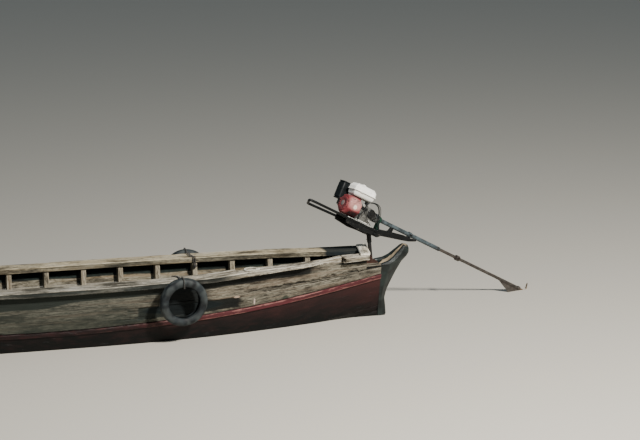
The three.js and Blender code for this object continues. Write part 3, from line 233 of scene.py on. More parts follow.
def bar_rings(corners, counts, radius):
    """Rings round a bar of long corner lines (sides, n, 3), with its edges rounded off.

    Each side runs straight from a radius after its first corner to a radius before its second, and the
    corner between two sides is an arc. Gives the rings, the distance round them and how near an edge.
    """
    sides, pieces, nearness = len(corners), [], []
    for s in range(sides):
        a, b, c = corners[s], corners[(s + 1) % sides], corners[(s + 2) % sides]
        side, following = b - a, c - b
        length = np.linalg.norm(side, axis=-1, keepdims=True)
        after = np.linalg.norm(following, axis=-1, keepdims=True)
        r = np.minimum(radius, 0.45 * np.minimum(length, after))
        e = r / length
        t = np.linspace(0, 1, counts[s])[None, :, None]
        pieces.append(a[:, None] + side[:, None] * (e[:, None] + t * (1 - 2 * e[:, None])))
        pieces.append((b - 0.293 * r * side / length + 0.293 * r * following / after)[:, None])
        from_edge = np.minimum(t[0, :, 0], 1 - t[0, :, 0])
        nearness += [np.exp(-from_edge * np.mean(length) / 0.006), np.ones(1)]
    rings = np.concatenate(pieces, 1)
    return rings, round_of(rings), np.broadcast_to(np.concatenate(nearness), rings.shape[:2]).copy()


def long_bar(x, edges, counts, radius):
    """bar_rings() for a bar along the boat, from its edges' y and z, each a row or one number."""
    return bar_rings(np.stack([np.stack([x, y + 0 * x, z + 0 * x], -1) for y, z in edges]), counts, radius)


def round_of(rings):
    """The distance round each ring from its first point, back to that point."""
    steps = np.linalg.norm(np.diff(np.concatenate([rings, rings[:, :1]], 1), axis=1), axis=-1)
    return np.concatenate([np.zeros((len(rings), 1)), np.cumsum(steps, 1)], 1)


def outward(rings):
    """The unit normals of a grid of rings, pointing away from each ring's middle."""
    normal = np.cross(np.roll(rings, -1, 1) - np.roll(rings, 1, 1), np.gradient(rings, axis=0))
    normal /= np.maximum(np.linalg.norm(normal, axis=-1, keepdims=True), 1e-9)
    away = np.einsum("ijk,ijk->", normal, rings - rings.mean(1, keepdims=True))
    return normal * np.sign(away)


def grain_map(along, round_it, shift):
    """A UV map in metres: along the grain and round the bar, shifted so that no two planks match."""
    u = np.broadcast_to(np.asarray(along).reshape(len(round_it), -1), round_it.shape)
    return np.stack([u + 1.7 * shift, round_it + 0.61 * shift], -1)


RIGHT = unit(np.cross([0.0, 0.0, 1.0], BACK))


def skin(name, grids, material, maps=None, worn=None, ends="fan", sharp=35):
    """A mesh over grids of points (rows along, columns round, closed round), with its ends closed.

    A fan closes an end with a corner at its middle; a ladder joins column k to the last but k; open
    leaves it, for a skin that closes on itself. maps hold one column more than the points.
    """
    single = not isinstance(grids, list)
    grids, maps, worn = ([grids], [maps], [worn]) if single else (
        grids, maps or [None] * len(grids), worn or [None] * len(grids))
    corners, tones, quads, tris, quad_maps, tri_maps, base = [], [], [], [], [], [], 0
    for points, plan, tone in zip(grids, maps, worn):
        rows, cols = points.shape[:2]
        plan = grain_map(np.zeros(rows), round_of(points), 0.0) if plan is None else plan
        tone = np.broadcast_to(0.0 if tone is None else tone, (rows, cols))
        i, k = np.meshgrid(np.arange(rows - 1), np.arange(cols), indexing="ij")
        after = (k + 1) % cols
        quad = np.stack([i * cols + k, i * cols + after, (i + 1) * cols + after, (i + 1) * cols + k], -1)
        at = np.stack([i * (cols + 1) + k, i * (cols + 1) + k + 1,
                       (i + 1) * (cols + 1) + k + 1, (i + 1) * (cols + 1) + k], -1)
        quads.append(base + quad.reshape(-1, 4))
        quad_maps.append(plan.reshape(-1, 2)[at.ravel()])
        points_here, tone_here, k = [points.reshape(-1, 3)], [tone.ravel()], np.arange(cols)
        count = rows * cols
        for row, way in ((0, -1), (rows - 1, 1)):
            rim = points[row] - points[row].mean(0)
            flat = np.stack([plan[row, :-1, 0] + rim @ RIGHT, rim[:, 2] + plan[row, 0, 1]], -1)
            if ends == "fan":
                points_here.append(points[row].mean(0)[None])
                tone_here.append([tone[row].mean()])
                face = np.stack([row * cols + k, row * cols + (k + 1) % cols, np.full(cols, count)], -1)
                middle = np.repeat(flat.mean(0)[None], cols, 0)
                tris.append(base + face[:, ::way])
                tri_maps.append(np.stack([flat, np.roll(flat, -1, 0), middle], 1)[:, ::way].reshape(-1, 2))
                count += 1
            elif ends == "ladder":
                j = np.arange(cols // 2 - 1)
                face = np.stack([j, j + 1, cols - 2 - j, cols - 1 - j], -1)[:, ::way]
                quads.append(base + row * cols + face)
                quad_maps.append(flat[face].reshape(-1, 2))
        corners += points_here
        tones += tone_here
        base += count
    faces, uv = [np.concatenate(quads)], [np.concatenate(quad_maps)]
    if tris:
        faces.append(np.concatenate(tris))
        uv.append(np.concatenate(tri_maps))
    corners, uv, tones = (np.concatenate(parts) for parts in (corners, uv, tones))
    return solid(name, corners, faces, material, uv, tones, sharp)


def worked_down(rings, depth):
    """Rings whose points are set in by a depth each."""
    return rings - outward(rings) * depth[..., None]


def timber(name, rings, side, material, slot, along, round_it, shift, worn):
    """A piece of the hull from rings of its port side, with its grain along it."""
    rings = rings * np.array([1, side, 1])
    return rides(skin(name, rings, material, grain_map(along, round_it, shift), worn), "hull", slot, name)


def ruffle(u, v, seed):
    """Smooth noise from -1 to 1: random heights at whole numbers of u and v, eased between neighbours."""
    heights = np.random.default_rng(seed).uniform(-1, 1, (128, 128))
    u, v = np.broadcast_arrays(u, v)
    iu, iv = np.floor(u).astype(int), np.floor(v).astype(int)
    fu, fv = u - iu, v - iv
    fu, fv = fu * fu * (3 - 2 * fu), fv * fv * (3 - 2 * fv)
    near = heights[iu % 128, iv % 128] * (1 - fu) + heights[(iu + 1) % 128, iv % 128] * fu
    far = heights[iu % 128, (iv + 1) % 128] * (1 - fu) + heights[(iu + 1) % 128, (iv + 1) % 128] * fu
    return near * (1 - fv) + far * fv


def add(tree, kind, inputs, out=0, **settings):
    """Adds a node and gives one of its outputs. settings are the node's own properties, and inputs
    its sockets' values, or the outputs that are linked to them."""
    made = tree.nodes.new("ShaderNode" + kind)
    for key, value in settings.items():
        setattr(made, key, value)
    for key, value in inputs.items():
        if isinstance(value, bpy.types.NodeSocket):
            tree.links.new(value, made.inputs[key])
        else:
            made.inputs[key].default_value = value
    return made.outputs[out]


def tinted(tree, colour, *layers):
    """The colour under layers of tint, each laid on as its driver goes from low to high, up to a share."""
    for driver, low, high, share, tint, *blend in layers:
        cover = add(tree, "MapRange", {0: driver, 1: low, 2: high, 4: share})
        colour = add(tree, "Mix", {0: cover, 6: colour, 7: linear(tint)}, 2, data_type="RGBA",
                     blend_type=blend[0] if blend else "MIX")
    return colour


def tint_zones(tree, colour, noise, zones):
    """The colour with stains on it, each a ragged ellipsoid: centre, half sizes, softness, share, colour."""
    for centre, half, soft, share, tint in zones:
        spot = add(tree, "Mapping", {"Vector": add(tree, "TexCoord", {}, "Object"),
                                     "Location": [-c / h for c, h in zip(centre, half)],
                                     "Scale": [1 / h for h in half]})
        reach = add(tree, "VectorMath", {0: spot}, 1, operation="LENGTH")
        ragged = add(tree, "Math", {0: noise, 1: -soft, 2: reach}, operation="MULTIPLY_ADD")
        colour = tinted(tree, colour, (ragged, 1.0, 1.0 - soft, share, tint))
    return colour


def wired(tree, shader, colour, relief, strength, depth, roughness=None):
    """Links the colour, a bump of a depth in metres and the roughness to the shader."""
    bump = add(tree, "Bump", {"Height": relief, "Strength": strength, "Distance": depth})
    for socket, value in (("Base Color", colour), ("Normal", bump), ("Roughness", roughness)):
        if value is not None:
            tree.links.new(value, shader.inputs[socket])


def weathered_wood(name, pale, dark, warm, crack, damp=0.0, roughness=0.86, chalk=0.0, algae="#6f7a6c",
                   zones=(), grime_and_shade="#42474a"):
    """Old hardwood with no finish, rained and sunned grey: long fibres, drying cracks and stains.

    Fibres are 9 mm wide and about 0.12 m long with 12 mm specks, and cracks 3 to 6 mm wide, drawn coarse
    enough to show. Below the height damp the wood is wet and green.
    """
    material, tree, shader = finish(name, pale, roughness, sheen=0.22)
    at = add(tree, "UVMap", {}, uv_map="grain")
    noise = {}
    #                     across  along  detail  roughness  shift
    for part, (across, along, detail, rough, shift) in {
        "fibres": (0.009, 0.12, 6.0, 0.72, 0.0),
        "specks": (0.012, 0.03, 4.0, 0.70, 21.7),
        "streaks": (0.032, 0.90, 3.0, 0.55, 3.1),
        "patches": (0.100, 0.32, 5.0, 0.62, 7.7),
        "ridges": (0.020, 0.60, 2.0, 0.50, 11.3),
        "breaks": (0.050, 0.30, 3.0, 0.60, 17.9),
    }.items():
        spot = add(tree, "Mapping", {0: at, "Location": (shift,) * 3, "Scale": (1 / along, 1 / across, 1)})
        noise[part] = add(tree, "TexNoise", {0: spot, "Scale": 1.0, "Detail": detail, "Roughness": rough})
    from_ridge = add(tree, "Math", {0: noise["ridges"], 1: 0.5}, operation="SUBTRACT")
    from_ridge = add(tree, "Math", {0: from_ridge}, operation="ABSOLUTE")
    line = add(tree, "MapRange", {0: from_ridge, 1: 0.004, 2: 0.020, 3: 1.0, 4: 0.0})
    broken = add(tree, "MapRange", {0: noise["breaks"], 1: 0.46, 2: 0.56})
    cracks = add(tree, "Math", {0: line, 1: broken}, operation="MULTIPLY")
    worn = add(tree, "Attribute", {}, 2, attribute_name="worn")
    # Where worn is negative the wood is multiplied by its grime colour: real rot and grime, and also the
    # painted shade and shadow bands that planks and boards carry in worn.
    colour = tinted(
        tree, linear(dark), (noise["fibres"], 0.38, 0.61, 1, pale),
        (noise["specks"], 0.50, 0.66, 0.75, "#6b6357", "MULTIPLY"), (noise["streaks"], 0.46, 0.66, 0.7, warm),
        (noise["patches"], 0.50, 0.64, 0.85, "#514a3d", "MULTIPLY"),
        (noise["patches"], 0.46, 0.30, chalk, "#d6d2c6"), (worn, 0.3, 1.0, 0.35, pale),
        (worn, -0.1, -1.0, 1, grime_and_shade, "MULTIPLY"), (cracks, 0, 1, 1, crack))
    if damp:
        height = add(tree, "SeparateXYZ", {0: add(tree, "TexCoord", {}, "Object")}, "Z")
        low = add(tree, "MapRange", {0: height, 1: damp, 2: damp - 0.30})
        patchy = add(tree, "MapRange", {0: noise["patches"], 1: 0.2, 2: 0.6, 3: 0.55, 4: 1.0})
        low = add(tree, "Math", {0: low, 1: patchy}, operation="MULTIPLY")
        colour = tinted(tree, colour, (low, 0, 1, 1, algae, "MULTIPLY"))
    colour = tint_zones(tree, colour, noise["patches"], zones)
    relief = add(tree, "Math", {0: noise["fibres"], 1: cracks}, operation="SUBTRACT")
    gloss = {0: noise["fibres"], 1: 0.3, 2: 0.7, 3: roughness - 0.1, 4: min(roughness + 0.08, 1)}
    wired(tree, shader, colour, relief, 0.9, 0.0035, add(tree, "MapRange", gloss))
    return material


def painted_wood(name, paint, faded, bare, grime_and_shade, wet_z, roughness=0.62, flaked=0.64, bow_shade_x=None):
    """Brush-painted planks: the paint has faded and flaked along the grain, and darkens towards the water,
    both wet and painted shade where the hull turns under.

    Forward of a given x the paint darkens towards its grime colour over a metre, as painted shade.
    """
    material, tree, shader = finish(name, paint, roughness, sheen=0.2)
    at = add(tree, "UVMap", {}, uv_map="grain")
    noise = {}
    #                     across  along  detail  roughness  shift
    for part, (across, along, detail, rough, shift) in {
        "chips": (0.030, 0.16, 8.0, 0.68, 2.3),
        "fade": (0.100, 0.50, 4.0, 0.60, 5.9),
        "soot": (0.050, 0.14, 6.0, 0.65, 9.1),
        "brush": (0.004, 0.30, 3.0, 0.60, 13.7),
    }.items():
        spot = add(tree, "Mapping", {0: at, "Location": (shift,) * 3, "Scale": (1 / along, 1 / across, 1)})
        noise[part] = add(tree, "TexNoise", {0: spot, "Scale": 1.0, "Detail": detail, "Roughness": rough})
    worn = add(tree, "Attribute", {}, 2, attribute_name="worn")
    edge = add(tree, "Math", {0: worn, 1: 0.12, 2: noise["chips"]}, operation="MULTIPLY_ADD")
    flakes = add(tree, "MapRange", {0: edge, 1: flaked, 2: flaked + 0.04})
    place = add(tree, "TexCoord", {}, "Object")
    low = add(tree, "MapRange", {0: add(tree, "SeparateXYZ", {0: place}, "Z"), 1: wet_z, 2: 0.0})
    patchy = add(tree, "MapRange", {0: noise["soot"], 1: 0.25, 2: 0.6, 3: 0.75, 4: 1.25})
    if bow_shade_x is not None:
        forward = add(tree, "SeparateXYZ", {0: place}, "X")
        dull = add(tree, "MapRange", {0: forward, 1: bow_shade_x, 2: bow_shade_x + 1.0, 4: 0.85})
        low = add(tree, "Math", {0: low, 1: dull}, operation="MAXIMUM")
    # Darkening near the water, partly wet paint and partly painted shade, and towards the bow as painted
    # shade.
    wet = add(tree, "Math", {0: low, 1: patchy}, operation="MULTIPLY")
    wet = add(tree, "Math", {0: wet, 1: 1.0}, operation="MINIMUM")
    colour = tinted(tree, linear(paint), (noise["fade"], 0.38, 0.64, 1, faded), (flakes, 0, 1, 1, bare),
                    (wet, 0, 1, 1, grime_and_shade))
    relief = add(tree, "Math", {0: noise["brush"], 1: flakes}, operation="SUBTRACT")
    wired(tree, shader, colour, relief, 0.8, 0.002, add(tree, "MapRange", {0: wet, 3: roughness, 4: 0.45}))
    return material


TAR_X = -2.455
#        centre              half sizes           soft  share  colour
tarred = ((TAR_X - 1, -0.5, 0.5), (1.0, 60, 60), 0.03, 0.96, "#11191c")
# Painted shade: the hull darkens towards the bow, where its curve turns away from the light.
painted_bow_shade = ((1.9, 0.5, 0.3), (2.9, 40, 40), 0.40, 0.60, "#2a302b")
# Painted shadow: the port tyre's shadow on the damp planks behind it, darkest in its hole.
painted_tyre_shadow = ((-1.075, 0.60, 0.34), (0.27, 0.30, 0.25), 0.30, 0.97, "#0c1213")
# Painted shade in the recess where a layer of the port lower plank has split off.
painted_split_shade = ((-1.11, 0.60, 0.299), (0.54, 0.30, 0.065), 0.10, 0.96, "#0d1516")
chip = ((-1.530, 0.36, 0.349), (0.030, 0.20, 0.010), 0.30, 0.90, "#c3ab96")
moss = ((-2.000, 0.25, 0.281), (0.028, 0.20, 0.026), 0.40, 0.80, "#2c352b")
dab = ((-1.700, 0.30, 0.285), (0.007, 0.20, 0.030), 0.20, 0.85, "#b9a69c")
# The far planks' grime colour is blue grey, the colour of the painted shadow band inside them.
far_wood = weathered_wood("weathered_far_side_planks", "#958e7e", "#55513f", "#7d6b52", "#12100c", damp=0.30,
                          zones=(tarred,), grime_and_shade="#475c62")
side_wood = weathered_wood("weathered_hardwood_planks", "#8f897a", "#444137", "#706050", "#100e0b", damp=0.40,
                           zones=(painted_bow_shade, painted_split_shade, painted_tyre_shadow, chip, moss, dab))
# Forward of x = -1.3 the bilge paint darkens as painted shade.
bilge_paint = painted_wood("brushed_red_paint_gone_dark", "#3c1f1e", "#2a1a19", "#443b34", "#050606", 0.40,
                           bow_shade_x=-1.3)
garboard_paint = painted_wood("brushed_maroon_paint", "#1c1011", "#161010", "#2c2723", "#060706", 0.10)

INSIDE_COLUMNS = 26
SPLIT_AFT, SPLIT_FORE, SPLIT_DEPTH = -1.600, -0.618, 0.011


def band(x, x0, x1, ease):
    """1 between two distances along the boat, easing to 0 outside them."""
    return np.clip((x - x0) / ease, 0, 1) * np.clip((x1 - x) / ease, 0, 1)


def uneven(x, rings, worn, face, round_it):
    """Weathering of any plank: shallow hollows along the faces and nibbled edges, only ever inwards."""
    hollow = 0.0012 * (1 + ruffle(x[:, None] * 7, round_it[:, :-1] * 70, 5))
    nibble = 0.0025 * np.clip(ruffle(x[:, None] * 23, round_it[:, :-1] * 9, 6), 0, 1) * worn
    return worked_down(rings, hollow + nibble), worn


def upper_port(x, rings, worn, face, round_it):
    """The port upper plank: its lower edge has rotted and splintered away in layers towards the stern."""
    rings, worn = uneven(x, rings, worn, face, round_it)
    xx, down = x[:, None], np.linspace(0, 1, face)[None, :]
    above = (1 - down) * round_it[:, face - 1:face]
    rot = band(x, -2.80, -1.62, 0.10)[:, None]
    tall = (0.020 + 0.026 * np.abs(ruffle(xx * 9, 0.5, 21)) + 0.012 * ruffle(xx * 47, 0.5, 22)) * rot
    near = np.clip((tall - above) / 0.012, 0, 1)
    layers = 0.5 + 0.5 * ruffle(xx * 14, down * 26, 23)
    depth = near * (0.006 + 0.014 * layers)
    rings[:, :face, 1] -= depth
    rings[:, face, 1] -= depth[:, -1]
    worn[:, :face] = worn[:, :face] * (1 - near) - near * (0.35 + 0.65 * layers)
    # Painted shadow: a dark band along the plank's top, where the covering board's overhang throws its
    # shadow; it is mostly left out where the board has broken away.
    below = down * round_it[:, face - 1:face]
    deep = 0.076 + 0.050 * np.clip(xx / 0.3 + 0.4, 0, 1) - 0.042 * (xx < -2.4)
    deep = deep + 0.007 * ruffle(xx * 7, 0.5, 24)
    painted_shadow_band = np.clip((deep - below) / 0.014, 0, 1)
    painted_shadow_band = painted_shadow_band * (1 - 0.9 * band(x, -2.53, -2.20, 0.10)[:, None])
    worn[:, :face] -= 1.25 * painted_shadow_band
    return rings, worn


def upper_starboard(x, rings, worn, face, round_it):
    """The starboard upper plank: inside, a dark band is painted below the covering board as its shadow."""
    rings, worn = uneven(x, rings, worn, face, round_it)
    inside = slice(face + 6, face + 6 + INSIDE_COLUMNS)
    below = section(x, 0.0)[:, 0, 1][:, None] - rings[:, inside, 2]
    edge = 0.098 + 0.006 * ruffle(x[:, None] * 4, 0.5, 25) - 0.020 * band(x, 0.2, 9, 1.0)[:, None]
    # Painted shadow of the covering board's inboard overhang, about 0.1 m deep and a little shallower
    # forward.
    worn[:, inside] -= 1.1 * np.clip((edge - below) / 0.007, 0, 1)
    return rings, worn


def lower_port(x, rings, worn, face, round_it):
    """The port lower plank: a long layer has split off it, and its upper edge has rotted in places."""
    rings, worn = uneven(x, rings, worn, face, round_it)
    z, xx = rings[:, :face, 2], x[:, None]
    inside = np.clip((xx - SPLIT_AFT) / 0.06, 0, 1) * np.clip((SPLIT_FORE - xx) / 0.02, 0, 1)
    share = np.clip((xx - SPLIT_AFT) / (SPLIT_FORE - SPLIT_AFT), 0, 1)
    top = 0.350 - 0.010 * share + 0.004 * ruffle(xx * 11, 0.5, 31)
    low = 0.247 - 0.026 * share + 0.007 * ruffle(xx * 16, 0.5, 32) + 0.004 * ruffle(xx * 50, 0.5, 33)
    split = inside * np.clip((top - z) / 0.003, 0, 1) * np.clip((z - low) / 0.003, 0, 1)
    fray = band(x, SPLIT_FORE - 0.05, SPLIT_FORE + 0.16, 0.05)[:, None] * np.clip((0.345 - z) / 0.01, 0, 1)
    fray = fray * (ruffle(xx * 5, z * 190, 34) > 0.1)
    rot = band(x, -2.72, -1.70, 0.10)[:, None]
    below = np.linspace(0, 1, face)[None, :] * round_it[:, face - 1:face]
    tall = (0.012 + 0.020 * np.abs(ruffle(xx * 12, 0.5, 35)) + 0.008 * ruffle(xx * 51, 0.5, 36)) * rot
    near = np.clip((tall - below) / 0.010, 0, 1)
    layers = 0.5 + 0.5 * ruffle(xx * 15, z * 170, 37)
    depth = (SPLIT_DEPTH - 0.0014) * split * (0.85 + 0.15 * layers)
    depth = depth + 0.005 * fray + near * (0.004 + 0.009 * layers)
    rings[:, :face, 1] -= depth
    rings[:, -1, 1] -= depth[:, 0]
    # The split's recess is darkened as painted shade; the rot and the frayed end are the wood's own.
    worn[:, :face] = worn[:, :face] * (1 - near) - 1.0 * split - 0.5 * fray - near * layers
    return rings, worn


def strake(name, side, upper, columns, step, material, slot, radius=0.003, cut_x=None, shift=0.0,
           shape=uneven, ends=(STERN_X, BOW_X)):
    """One plank between two neighbouring lines of the section, half a seam's gap short at each edge.

    Aft of cut_x its top is cut down level to half a metre above the water.
    """
    x = lengthwise(*ends, step, *([] if cut_x is None else [cut_x]))
    outer, inner = section(x, 0.0), section(x, PLANK)
    reach = SEAM_GAP / 2 * unit(outer[:, upper + 1] - outer[:, upper])
    lines = np.stack([outer[:, upper] + reach, outer[:, upper + 1] - reach,
                      inner[:, upper + 1] - reach, inner[:, upper] + reach])
    if cut_x is not None:
        low = lines.copy()
        for top, foot in ((0, 1), (3, 2)):
            share = (lines[top, :, 1] - 0.5) / (lines[top, :, 1] - lines[foot, :, 1])
            low[top] = lines[top] + share[:, None] * (lines[foot] - lines[top])
        lines = np.concatenate([low[:, x <= cut_x], lines[:, x >= cut_x]], 1)
        x = np.concatenate([x[x <= cut_x], x[x >= cut_x]])
    corners = np.concatenate([np.broadcast_to(x[None, :, None], (4, len(x), 1)), lines], -1)
    rings, round_it, worn = bar_rings(corners, columns, radius)
    rings, worn = shape(x, rings, worn, columns[0], round_it)
    return timber(name, rings, side, material, slot, x, round_it, shift, worn)


for side_name, side, cut_x in (("port", 1, -2.775), ("starboard", -1, -2.835)):
    port = side > 0
    wood = side_wood if port else far_wood
    step, columns = (0.006, (26, 4, 6, 4)) if port else (0.012, (14, 4, INSIDE_COLUMNS, 4))
    strake(f"upper_side_{side_name}", side, 0, columns, step, wood, "grey_wood", 0.004, cut_x,
           0.3 * side, upper_port if port else upper_starboard)
    strake(f"lower_side_{side_name}", side, 1, columns, step, wood, "grey_wood", 0.003, None,
           1.1 * side, lower_port if port else uneven)
    strake(f"bilge_strake_{side_name}", side, 2, (20, 3, 6, 3), 0.012, bilge_paint, "red_paint",
           shift=1.9 * side)
BUTT_X = RIB_XS[7]
for name, side, ends in (("garboard_port", 1, (STERN_X, BOW_X)),
                         ("garboard_starboard_fore", -1, (BUTT_X + SEAM_GAP / 2, BOW_X)),
                         ("garboard_starboard_aft", -1, (STERN_X, BUTT_X - SEAM_GAP / 2))):
    strake(name, side, 3, (16, 3, 6, 3), 0.014, garboard_paint, "dark_paint",
           shift=2.3 * side + ends[0], ends=ends)


# Keel beam: one hardwood beam under the garboards, its top cut to their V, spiked through into the ribs.
# It wears their maroon paint, which the water has turned nearly black.
def eased(x, x0, x1):
    """A share from 0 at x0 to 1 at x1, eased at both ends."""
    t = np.clip((x - x0) / (x1 - x0), 0, 1)
    return t * t * (3 - 2 * t)


x = lengthwise(STERN_X, BOW_X, 0.03)
lines = section(x, 0.0)
half = 0.014 + 0.031 * eased(np.minimum(x - STERN_X, BOW_X - x), 0, 0.9)
keel_z = lines[:, 4, 1]
seat_z = keel_z + half * (lines[:, 3, 1] - keel_z) / (lines[:, 3, 0] - lines[:, 4, 0]) - 0.0008
rings, round_it, worn = long_bar(x, (
    (half, seat_z), (0, keel_z - 0.0016), (-half, seat_z), (-half, keel_z - 0.042), (half, keel_z - 0.042)),
    (4, 4, 4, 5, 4), 0.004)
timber("keel_beam", rings, 1, garboard_paint, "dark_paint", x, round_it, 4.4, worn)


# Rubbing battens: a red-painted strip nailed along the top of the red planks to take knocks.
# The paint has flaked along its edges down to a pale pink.
BATTEN_HEIGHT, BATTEN_PROUD = 0.050, 0.018
# Forward of x = -1.5 the batten's red darkens as painted shade.
batten_paint = painted_wood("brushed_red_paint_rubbed_thin", "#54262a", "#3e1f21", "#7d524d", "#1b1111", 0.18,
                            0.6, 0.58, -1.5)
for side_name, side in (("port", 1), ("starboard", -1)):
    x = lengthwise(STERN_X, BOW_X, 0.012)
    lines = section(x, 0.0)
    red = lines[:, 2]
    low = red + BATTEN_HEIGHT * unit(lines[:, 3] - red)
    rings, round_it, worn = long_bar(x, (
        (red[:, 0] + 0.0004, red[:, 1] - 0.001), (low[:, 0] + 0.0004, low[:, 1]),
        (low[:, 0] + BATTEN_PROUD, low[:, 1] + 0.004), (red[:, 0] + BATTEN_PROUD, red[:, 1] - 0.005)),
        (3, 4, 9, 4), 0.005)
    knock = np.clip(ruffle(x[:, None] * 3.1, 0.5, 41) - 0.35, 0, 1) * 0.014
    dent = 0.0015 * (1 + ruffle(x[:, None] * 19, round_it[:, :-1] * 60, 42)) + knock * worn
    outer_half = np.zeros(rings.shape[1])
    outer_half[7:19] = 1
    rings = rings - outward(rings) * (dent * outer_half)[..., None] * np.array([0.3, 1, 1])
    timber(f"rubbing_batten_{side_name}", rings, side, batten_paint, "red_paint", x, round_it, 5.3 + side,
           worn)


# Ribs: fifteen sawn frames, each from one sheer down across the bottom and up to the other, with a level
# floor that the boards lie on. Their inboard edges are rubbed round, and their feet are damp and green.
FLOOR_Z, FLOOR_TIMBER = -0.058, 0.086
HEAD_DEPTH, SIDE_DEPTH, FOOT_DEPTH = 0.085, 0.062, 0.075
rib_wood = weathered_wood("sawn_frame_timber", "#a59c89", "#655e4e", "#83735b", "#191510", damp=0.10,
                          algae="#5a6152", zones=(tarred,))


def rib_lines(x):
    """The rib's four long corner lines, from the port head round the bottom to the starboard head.

    Straight runs join five corners a side: head, seam, side, turn of the bilge and middle.
    """
    faces = np.array([x - RIB_WIDTH / 2, x + RIB_WIDTH / 2])
    hull, outer = section(faces, PLANK + RIB_GAP), section(faces, 0.0)
    level = np.maximum(FLOOR_Z, outer[:, 4, 1] + FLOOR_TIMBER)
    inboard = hull.copy()
    inboard[:, 0, 0] -= HEAD_DEPTH
    inboard[:, 1, 0] -= (HEAD_DEPTH + SIDE_DEPTH) / 2
    inboard[:, 2, 0] -= SIDE_DEPTH
    inboard[:, 3] = np.stack([np.maximum(hull[:, 3, 0] - FOOT_DEPTH, 0.02), level], -1)
    inboard[:, 4] = np.stack([0 * level, level], -1)
    hull[:, 4, 0] = 0.0
    t = np.concatenate([np.linspace(0, 1, 9)[:-1], 1 + np.linspace(0, 1, 9)[:-1],
                        2 + np.linspace(0, 1, 13)[:-1], 3 + np.linspace(0, 1, 14)])
    lines = []
    for face, stops in ((0, hull), (1, hull), (1, inboard), (0, inboard)):
        y, z = (np.interp(t, np.arange(5), stops[face, :, axis]) for axis in (0, 1))
        y, z = np.concatenate([y, -y[-2::-1]]), np.concatenate([z, z[-2::-1]])
        lines.append(np.stack([np.full(len(y), faces[face]), y, z], -1))
    return np.stack(lines)


def far_along(points):
    """The distance along a row of points from the first to each."""
    return np.concatenate([[0], np.cumsum(np.linalg.norm(np.diff(points, axis=0), axis=-1))])


for index, rib_x in enumerate(RIB_XS):
    lines = rib_lines(rib_x)
    rings, round_it, worn = bar_rings(lines, (4, 5, 5, 5), 0.005)
    far = far_along(lines[0])
    wear = 0.0018 * (1 + ruffle(far[:, None] * 17 + 9 * index, round_it[:, :-1] * 50, 51))
    off_hull = np.arange(rings.shape[1]) > 4
    rings = worked_down(rings, wear * np.clip(worn + 0.3, 0, 1) * off_hull)
    timber(f"rib_{index + 1:02d}", rings, 1, rib_wood, "grey_wood", far, round_it, 6.1 + 0.83 * index, worn)


# Floorboards: three loose planks on the ribs' floors, held together by cleats between the ribs.
# They are bare hardwood, trodden dull, with their edges rubbed pale.
FLOORS = {"aft": -1.330, "fore": 1.390, "width": 0.118, "gap": 0.010, "thick": 0.018}
foot_wood = weathered_wood("trodden_floor_planks", "#857a66", "#514a3c", "#63553f", "#15120d")


def straight_bar(low, high, along, step, counts, radius, shift, seed, depth=0.0012):
    """A sawn bar between two corners with its grain along one axis (0, 1 or 2), worn unevenly."""
    low, high = np.array(low, float), np.array(high, float)
    a, b = [axis for axis in range(3) if axis != along]
    s = np.linspace(low[along], high[along], max(int((high[along] - low[along]) / step), 2) + 1)
    corners = np.zeros((4, len(s), 3))
    for corner, (first, second) in enumerate(((low, low), (high, low), (high, high), (low, high))):
        corners[corner, :, a], corners[corner, :, b], corners[corner, :, along] = first[a], second[b], s
    rings, round_it, worn = bar_rings(corners, counts, radius)
    wear = depth * (1 + ruffle(s[:, None] * 11, round_it[:, :-1] * 45, seed)) * np.clip(worn + 0.25, 0, 1)
    return worked_down(rings, wear), grain_map(s, round_it, shift), worn


half, pitch, foot = FLOORS["width"] / 2, FLOORS["width"] + FLOORS["gap"], FLOOR_Z + SEAM_GAP
bars = [straight_bar((FLOORS["aft"], row * pitch - half, foot),
                     (FLOORS["fore"], row * pitch + half, foot + FLOORS["thick"]),
                     0, 0.03, (10, 3, 10, 3), 0.003, 7.0 + row, 61 + row) for row in (-1, 0, 1)]
bars += [straight_bar((RIB_XS[bay] - 0.1965, -0.176, FLOOR_Z - 0.024),
                      (RIB_XS[bay] - 0.1365, 0.176, FLOOR_Z + 0.0002),
                      1, 0.03, (4, 3, 4, 3), 0.002, 8.0 + bay, 66) for bay in (3, 6, 10)]
grids, maps, tones = zip(*bars)
rides(skin("floorboards", list(grids), foot_wood, maps, tones), "hull", "grey_wood", "floorboards")


# Covering boards: thick planks laid flat on the sheer and the ribs' heads, bleached by the sun.
# Long cracks run their whole length. The port one has broken away near the stern, and a short length
# of it is left aft of the break.
BOARD_THICK, BOARD_OUTBOARD, BOARD_INBOARD = 0.045, 0.055, 0.130
BREAK = {"fore": -2.130, "aft": -2.350, "aft_start": -2.530, "split": -1.530, "split_inboard": 0.075}
bleached_wood = weathered_wood("sun_bleached_covering_board", "#ccc1a6", "#8b8068", "#ab9874", "#1d1812",
                               roughness=0.8, chalk=0.25, zones=(tarred,))
# The port board carries the same painted shade towards the bow, at a lower share.
near_board_wood = weathered_wood("trodden_covering_board", "#dcd4c3", "#564f41", "#8d7f66", "#0c0a08",
                                 roughness=0.8, chalk=0.45, zones=((*painted_bow_shade[:3], 0.30, painted_bow_shade[4]),))


def board_edges(x):
    """The covering board's outer and inner edge (y) and its bottom and top (z) at x."""
    sheer = section(x, 0.0)[:, 0]
    return (sheer[:, 0] + BOARD_OUTBOARD, np.maximum(sheer[:, 0] - BOARD_INBOARD, 0.012),
            sheer[:, 1] + SEAM_GAP, sheer[:, 1] + BOARD_THICK)


def trodden(x):
    """How far the port board's top is worn below its own level, in metres."""
    return 0.012 * (eased(x, -1.740, -2.000) - eased(x, -2.360, -2.490))


